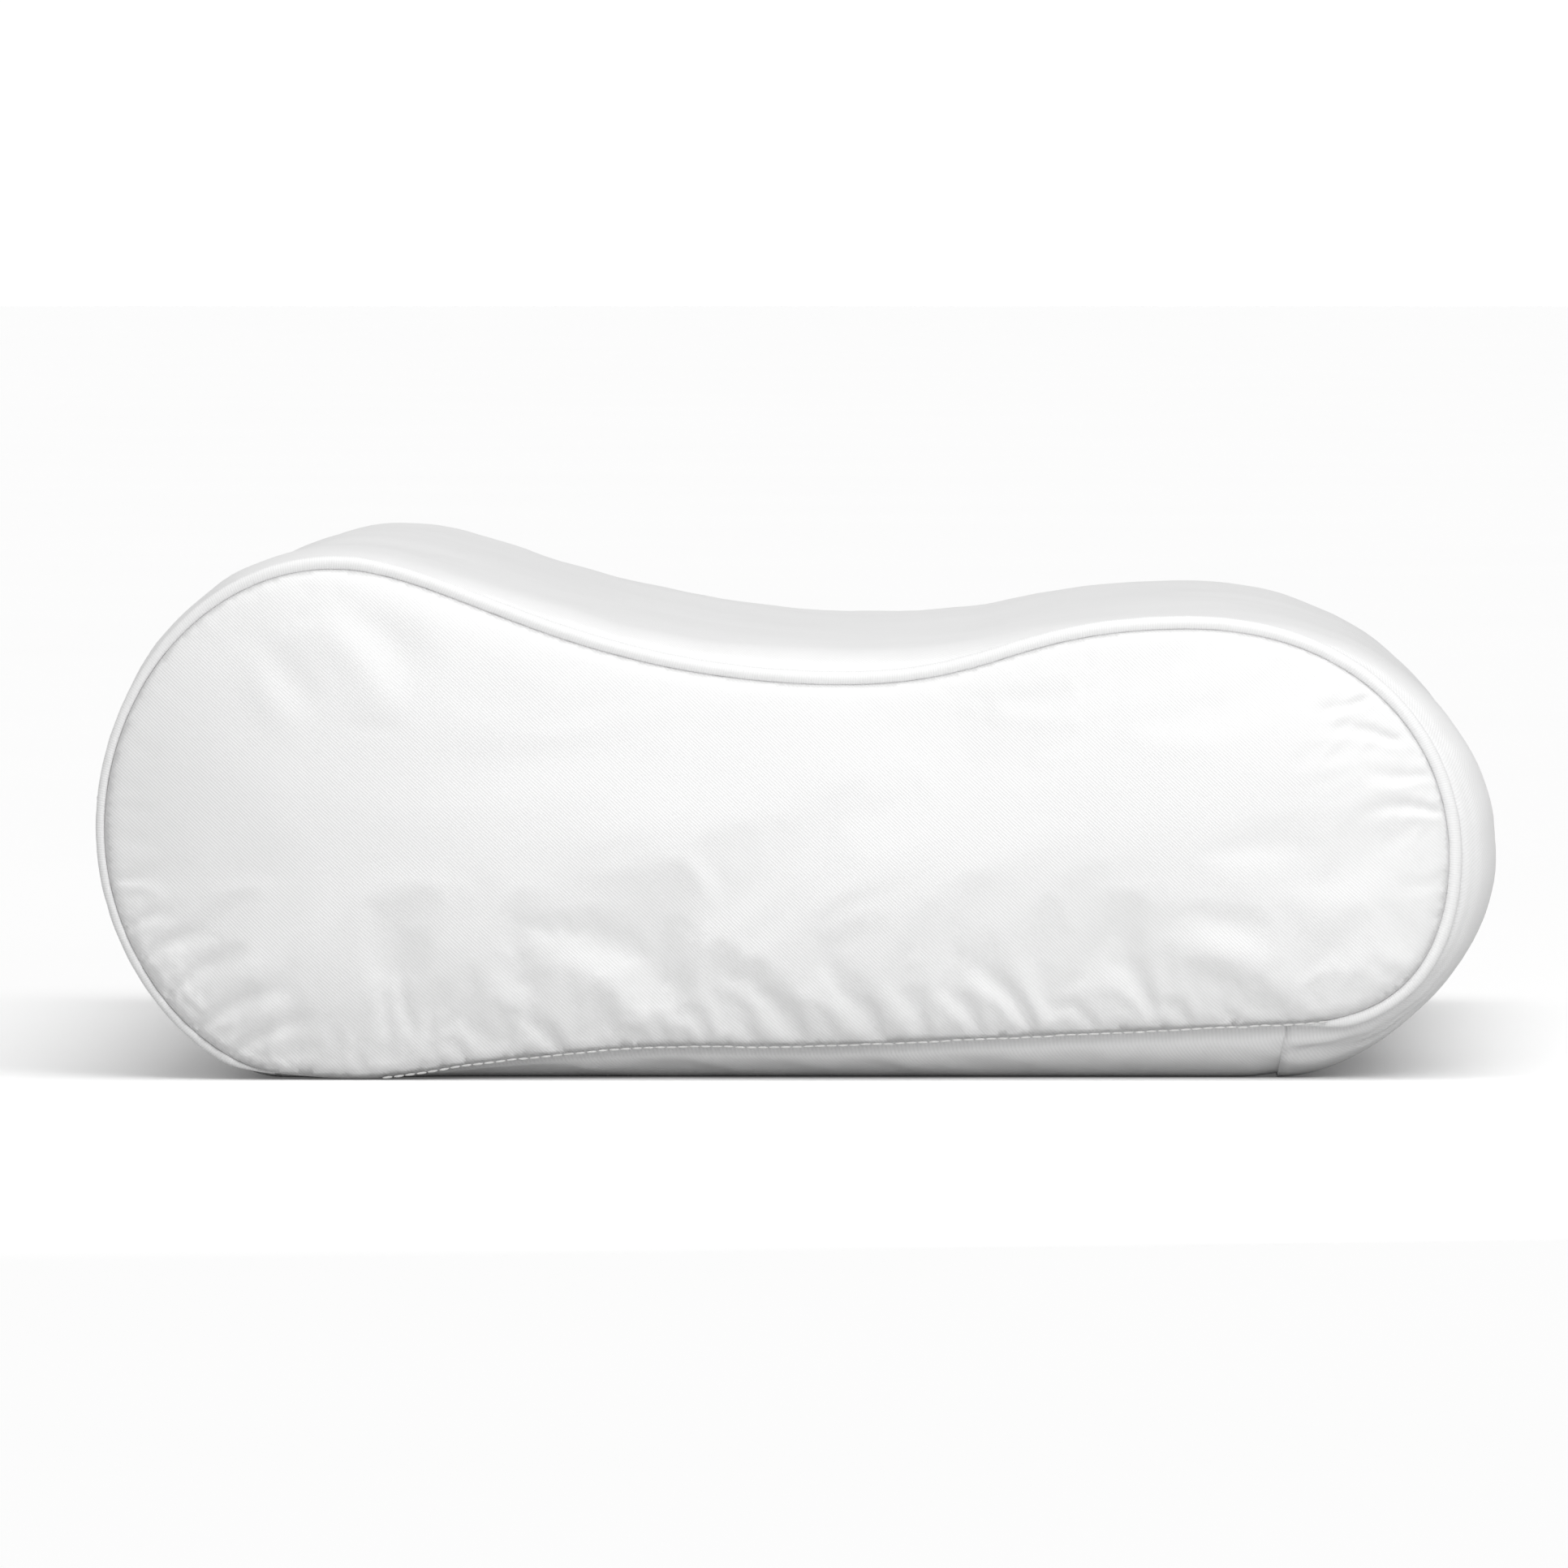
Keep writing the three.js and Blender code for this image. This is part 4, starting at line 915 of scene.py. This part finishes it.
def add_piping(end, side, seed):
    run = np.arange(arc_at(PIPED[0], SEAM_WALK), arc_at(PIPED[1], SEAM_WALK), 1.1)
    station = station_at(run, SEAM_WALK)
    from_end = np.minimum(run - run[0], run[-1] - run)
    taper = 0.3 + 0.7 * ease(from_end, 0.0, 13.0)
    x, z = contour(0.0, station, 0.5 * (1 - taper) - piping_out(station) * taper)
    path = stacked(x[0], side * (PIPING_Y + 0.12 * noise(run / 14, seed, seed)), z[0])
    turn = np.linspace(0, 2 * math.pi, PIPING_SIDES, endpoint=False)
    lumps = 0.055 * noise(run[:, None] / 2.6 + turn * 1.1, run[:, None] / 9, seed + 1)
    radius = (piping_radius(station)[:, None] + lumps) * taper[:, None]
    radius = np.minimum(radius, np.maximum(path[:, 2:] - 0.1, 0.2))
    sleeve = tube(f"piping_{end}", path, radius, BIAS, slide=0.8)
    settle(sleeve, "cushion", "piping_satin", f"piping_sleeve_{end}")
    cord_radius = np.tile(CORD_R * taper[4:-4:2, None], CORD_SIDES)
    cord = tube(f"piping_core_{end}", path[4:-4:2], cord_radius, COTTON, slide=0.5)
    settle(cord, "cushion", "piping_cord", f"piping_cord_{end}")


add_piping("front", -1, 51)
add_piping("rear", 1, 61)

# %% [markdown]
# ## Stitching by Geometry Nodes
# A lockstitch shows as a row of short, plump dashes. Geometry Nodes repeat one dash along a seam line: the tree
# resamples the line at the stitch length, puts a dash on each point, turns it along the line, and makes the
# result real. The line's own object goes away once the mesh is made. The zip's coil is a row of the same kind.

# %% A tree that repeats an item along a line
def row_tree(name, sizes, item):
    """sizes are the tree's number inputs, the step first; item gives the repeated mesh, its rotation and scale."""
    inputs = [("Line", "NodeSocketGeometry", None), *((size, "NodeSocketFloat", None) for size in sizes)]
    tree, inside, out = new_group(name, inputs + [("Finish", "NodeSocketMaterial", None)],
                                  [("Row", "NodeSocketGeometry")], "GeometryNodeTree")
    given = inside.outputs
    line = add_node(tree, "GeometryNodeMeshToCurve", Mesh=given["Line"])
    even = tree.nodes.new("GeometryNodeResampleCurve")
    even.mode = "LENGTH"
    feed(tree, even, Curve=line.outputs[0], Length=given[sizes[0]])
    repeat = add_node(tree, "GeometryNodeInstanceOnPoints", Points=even.outputs[0], **item(tree, given))
    real = add_node(tree, "GeometryNodeRealizeInstances", Geometry=repeat.outputs[0])
    smooth = add_node(tree, "GeometryNodeSetShadeSmooth", Geometry=real.outputs[0])
    finish = add_node(tree, "GeometryNodeSetMaterial", Geometry=smooth.outputs[0], Material=given["Finish"])
    feed(tree, out, Row=finish.outputs[0])
    return tree


# %% The stitch tree: one plump dash, turned along the line
def stitch(tree, given):
    dash = add_node(tree, "GeometryNodeMeshUVSphere", Segments=6, Rings=5, Radius=0.5)
    long = sums(tree)("MULTIPLY", given["Stitch length"], 0.94)
    size = add_node(tree, "ShaderNodeCombineXYZ", X=given["Thread"], Y=given["Thread"], Z=long)
    aim = tree.nodes.new("FunctionNodeAlignRotationToVector")
    aim.axis = "Z"
    feed(tree, aim, Vector=tree.nodes.new("GeometryNodeInputTangent").outputs[0])
    return dict(Instance=dash.outputs["Mesh"], Rotation=aim.outputs[0], Scale=size.outputs[0])


STITCHES = row_tree("row of stitches", ["Stitch length", "Thread"], stitch)
print("stitch tree:", len(STITCHES.nodes), "nodes")


# %% Run a tree on a line and keep the plain mesh
def grown(name, tree, lines, **values):
    """Lines are lists of points in mm; values are the tree's inputs by name."""
    points, edges = [], []
    for line in lines:
        start = len(points)
        points += (np.asarray(line) * MM).tolist()
        edges += [(start + i, start + i + 1) for i in range(len(line) - 1)]
    mesh = bpy.data.meshes.new(name + " line")
    mesh.from_pydata(points, edges, [])
    source = put(name + " line", mesh)
    modifier = source.modifiers.new("grow", "NODES")
    modifier.node_group = tree
    for item in tree.interface.items_tree:
        if item.in_out == "INPUT" and item.name.replace(" ", "_") in values:
            modifier[item.identifier] = values[item.name.replace(" ", "_")]
    evaluated = source.evaluated_get(bpy.context.evaluated_depsgraph_get())
    plain = bpy.data.meshes.new_from_object(evaluated)
    bpy.data.objects.remove(source)
    plain.name = name
    if "cloth" not in plain.uv_layers:
        plain.uv_layers.new(name="cloth")
    return put(name, plain)


# %% The base seams
def seam_line(side, first, last, step=0.8):
    run = np.arange(arc_at(first, SEAM_WALK), arc_at(last, SEAM_WALK), step)
    x, z = contour(0.0, station_at(run, SEAM_WALK))
    wobble = 0.12 * noise(run / 4.0, side * 3.0, 71)
    return stacked(x[0], side * STITCH_Y, np.maximum(z[0] + wobble, 0.3))


base_seams = [seam_line(side, TOE - 0.12, HEEL - 0.1) for side in (-1, 1)]
stitching = grown("base_seam_stitches", STITCHES, base_seams,
                  Stitch_length=2.54 * MM, Thread=0.56 * MM, Finish=THREAD)
settle(stitching, "cushion", "cover_satin")

# %% [markdown]
# ## Foam block and liner
# Both are hidden while the zip is closed, but they are what gives the cover its shape. The foam is a closed
# block on the same contour, drawn in by the thickness of what lies over it, and its ends are crowned. The liner is
# the same form one fabric thickness larger.

# %% A closed block at a depth inside the contour
def press(station):
    """1 under the foam, 0 on its sides, for the layers that its weight presses together."""
    s = np.mod(station, ROUND_TRIP)
    return np.where(s > HEEL, 1 - ease(s, HEEL, ROUND_TRIP), ease(s, TOE - 1, TOE))


CAP_SHARES = np.array([1.0, 0.985, 0.95, 0.88, 0.78, 0.66, 0.52, 0.38, 0.24, 0.1])  # rings of an end, by their size
CAP_ROUND, CAP_CROWN = 1.6, 5.0


def inner_block(name, side_depth, under_depth, end_y, material, columns=260):
    """A closed block; its two depths are measured inwards from the contour, beside and under the foam."""
    station = station_at(np.linspace(0, BODY_WALK[-1], columns, endpoint=False))
    depth = side_depth + (under_depth - side_depth) * press(station)
    rows = mirrored(half_rows(WRAP_Y - 2, 3.0, 12.0))
    x, z = contour(swell(rows), station, depth)
    rings = [stacked(x, rows[:, None], z)]
    flat_x, flat_z = contour(0.0, station, depth)
    middle_x, middle_z = flat_x.mean(), flat_z.mean()
    for side, share in ((1, CAP_SHARES), (-1, CAP_SHARES[::-1])):
        cap_y = side * (end_y - 2.0 + CAP_ROUND * (1 - share**8) + CAP_CROWN * (1 - share**2))
        share = share[:, None]
        cap_x, cap_z = middle_x + (flat_x - middle_x) * share, middle_z + (flat_z - middle_z) * share
        cap = stacked(cap_x, cap_y[:, None], cap_z)
        rings = rings + [cap] if side > 0 else [cap] + rings
    rings = np.vstack(rings)
    pole_y = end_y - 2.0 + CAP_ROUND + CAP_CROWN
    points = np.vstack([rings, [[middle_x, -pole_y, middle_z], [middle_x, pole_y, middle_z]]])
    cloth = np.vstack([stacked(arc_at(station), rings[:, 1].reshape(-1, columns)), [[0, -end_y], [0, end_y]]])
    obj = make_mesh(name, points, capped_faces(len(rings) // columns, columns), cloth, material)
    outward(obj)
    return obj


foam_block = inner_block("foam_block", 4.3, 3.0, 240.2, FOAM)
settle(foam_block, "cushion", "foam", "foam_core")
liner = thicken(inner_block("liner_bag", 3.5, 2.2, 241.0, KNIT), 0.5)
settle(liner, "cushion", "liner_knit", "liner_sleeve", "liner_end_front", "liner_end_rear")

# %% [markdown]
# ## Zip
# The zip is a nylon coil zip. Two woven tapes are sewn behind the folded edges of the cover, each with a coil of
# round nylon wire along its edge. The coils are made of turns by Geometry Nodes, as the stitches are. A closed
# chain's turns lock into each other, but here they stop short of the middle, so that the slider's post may run
# between them when it moves.

# %% Tapes
TAPE_Y, TAPE_DEPTH, TAPE_THICK = 218.0, 1.12, 0.45
TAPE_EDGES = 0.75, 16.0  # from the zip line to the coil's edge and to the sewn edge


def zip_tape(name, low, high, columns=10):
    """A strip on the rear wall between two distances from the zip line."""
    y = np.linspace(-TAPE_Y, TAPE_Y, 140)
    arcs = np.linspace(low, high, columns)
    x, z = contour(swell(y), station_at(arcs), TAPE_DEPTH)
    cloth = stacked(arcs, y[:, None])
    return thicken(make_mesh(name, stacked(x, y[:, None], z), grid_faces(len(y), columns), cloth, TAPE), TAPE_THICK)


near_edge, far_edge = TAPE_EDGES
settle(zip_tape("zip_tape_top", near_edge, far_edge), "cushion", "zip_tape", "zip_tape_upper")
settle(zip_tape("zip_tape_bottom", -far_edge, -near_edge), "cushion", "zip_tape", "zip_tape_lower")


# %% The coil tree: one flattened turn of wire, repeated along a line
def nylon_turn(tree, given):
    oval = add_node(tree, "ShaderNodeCombineXYZ", X=given["Half height"], Y=given["Half width"], Z=1.0)
    lean = add_node(tree, "ShaderNodeCombineXYZ", X=given["Lean"])
    circle = add_node(tree, "GeometryNodeCurvePrimitiveCircle", Resolution=9, Radius=1.0)
    turn = add_node(tree, "GeometryNodeTransform", Geometry=circle.outputs["Curve"], Scale=oval.outputs[0],
                    Rotation=lean.outputs[0])
    wire = add_node(tree, "GeometryNodeCurvePrimitiveCircle", Resolution=5, Radius=given["Wire"])
    swept = add_node(tree, "GeometryNodeCurveToMesh", Curve=turn.outputs[0], Profile_Curve=wire.outputs["Curve"])
    upright = add_node(tree, "FunctionNodeEulerToRotation", Euler=(math.radians(90), 0, 0))
    return dict(Instance=swept.outputs[0], Rotation=upright.outputs[0])


COIL = row_tree("coil of nylon turns", ["Turn pitch", "Half width", "Half height", "Wire", "Lean"], nylon_turn)
for place, sign in (("upper", 1), ("lower", -1)):
    low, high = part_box(f"zip_coil_{place}")
    centre_x, centre_z = (low.x + high.x) / 2 / MM, (low.z + high.z) / 2 / MM
    row = [[centre_x, y, centre_z] for y in np.linspace(low.y / MM + 0.6, high.y / MM - 0.6, 3)]
    coil = grown(f"zip_turns_{place}", COIL, [row], Turn_pitch=1.3 * MM, Half_width=0.9 * MM,
                 Half_height=0.5 * MM, Wire=0.24 * MM, Lean=sign * 0.16, Finish=NYLON)
    settle(coil, "cushion", "zip_coil", f"zip_coil_{place}")


# %% Topstitching round the zip's mouth
TOPSTITCH_OFF, TOPSTITCH_LIFT = 8.6, 0.1


def wall_line(distance, y_end):
    y = np.linspace(-y_end, y_end, round(y_end))
    x, z = contour(swell(y), station_at([distance]), -TOPSTITCH_LIFT)
    return stacked(x[:, 0], y, z[:, 0])


def mouth_side(y):
    x, z = contour(swell(y), station_at(np.linspace(-9.0, 9.0, 12)), -TOPSTITCH_LIFT)
    return stacked(x[0], y, z[0])


topstitch = [wall_line(side * TOPSTITCH_OFF, 219) for side in (1, -1)] + [mouth_side(y) for y in (-220.5, 220.5)]
hem_stitches = grown("zip_topstitching", STITCHES, topstitch,
                     Stitch_length=2.6 * MM, Thread=0.34 * MM, Finish=THREAD)
settle(hem_stitches, "cushion", "cover_satin")

# %% [markdown]
# ## Slider, pull tab and stops
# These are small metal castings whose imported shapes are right. A casting has no knife edges, so each is a merged
# copy of its solid with a narrow bevel that catches the light.

# %% Bevelled copies of the metal parts
def cast_copy(name, node, body, width):
    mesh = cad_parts[node].data.copy()
    bm = bmesh.new()
    bm.from_mesh(mesh)
    bmesh.ops.remove_doubles(bm, verts=bm.verts, dist=1e-6)
    bmesh.ops.dissolve_limit(bm, angle_limit=math.radians(1), verts=bm.verts, edges=bm.edges)
    bmesh.ops.recalc_face_normals(bm, faces=bm.faces)
    bm.to_mesh(mesh)
    bm.free()
    mesh.name = name
    mesh.materials.clear()
    mesh.materials.append(METAL)
    mesh.polygons.foreach_set("use_smooth", [True] * len(mesh.polygons))
    obj = put(name, mesh)
    round_off = obj.modifiers.new("worn edges", "BEVEL")
    round_off.width = width * MM
    round_off.segments = 2
    round_off.limit_method = "ANGLE"
    round_off.angle_limit = math.radians(35)
    round_off.harden_normals = True
    return settle(obj, body, "zip_metal", node)


cast_copy("slider_casting", "zip_slider", "slider", 0.12)
cast_copy("pull_tab_plate", "zip_pull_tab", "pull_tab", 0.22)
for stop in ("zip_top_stop_upper", "zip_top_stop_lower", "zip_bottom_stop"):
    cast_copy(stop.replace("zip_", "") + "_crimp", stop, "cushion", 0.2)

# %% [markdown]
# ## Care label
# A blank loop of satin ribbon is caught in the far end's seam and lies on the rear panel, its free end lifting a
# little where the fold springs open.

# %% The label
LABEL_FROM_HEEL, LABEL_LENGTH = (34.0, 56.0), 38


def add_label(rows=36, columns=24):
    low, high = LABEL_FROM_HEEL
    arcs = np.linspace(arc_at(HEEL) + low, arc_at(HEEL) + high, columns)
    y = np.linspace(WRAP_Y - LABEL_LENGTH, WRAP_Y - 0.6, rows)[:, None]
    free = (WRAP_Y - y) / LABEL_LENGTH
    lift = 0.55 + 1.5 * free**3 + 0.35 * np.linspace(-1, 1, columns) ** 2 * free
    uneven = 0.15 * noise(y / 9, arcs / 9, 81) + np.maximum(wrap_waves(y, arcs, 30.0, 60.0), 0)
    x, z = contour(swell(y[:, 0]), station_at(arcs), -(lift + uneven + 0.25))
    label = make_mesh("care_ribbon", stacked(x, y, z), grid_faces(rows, columns), stacked(arcs, y), RIBBON)
    settle(thicken(label, 0.3), "cushion", "label", "care_label")


add_label()
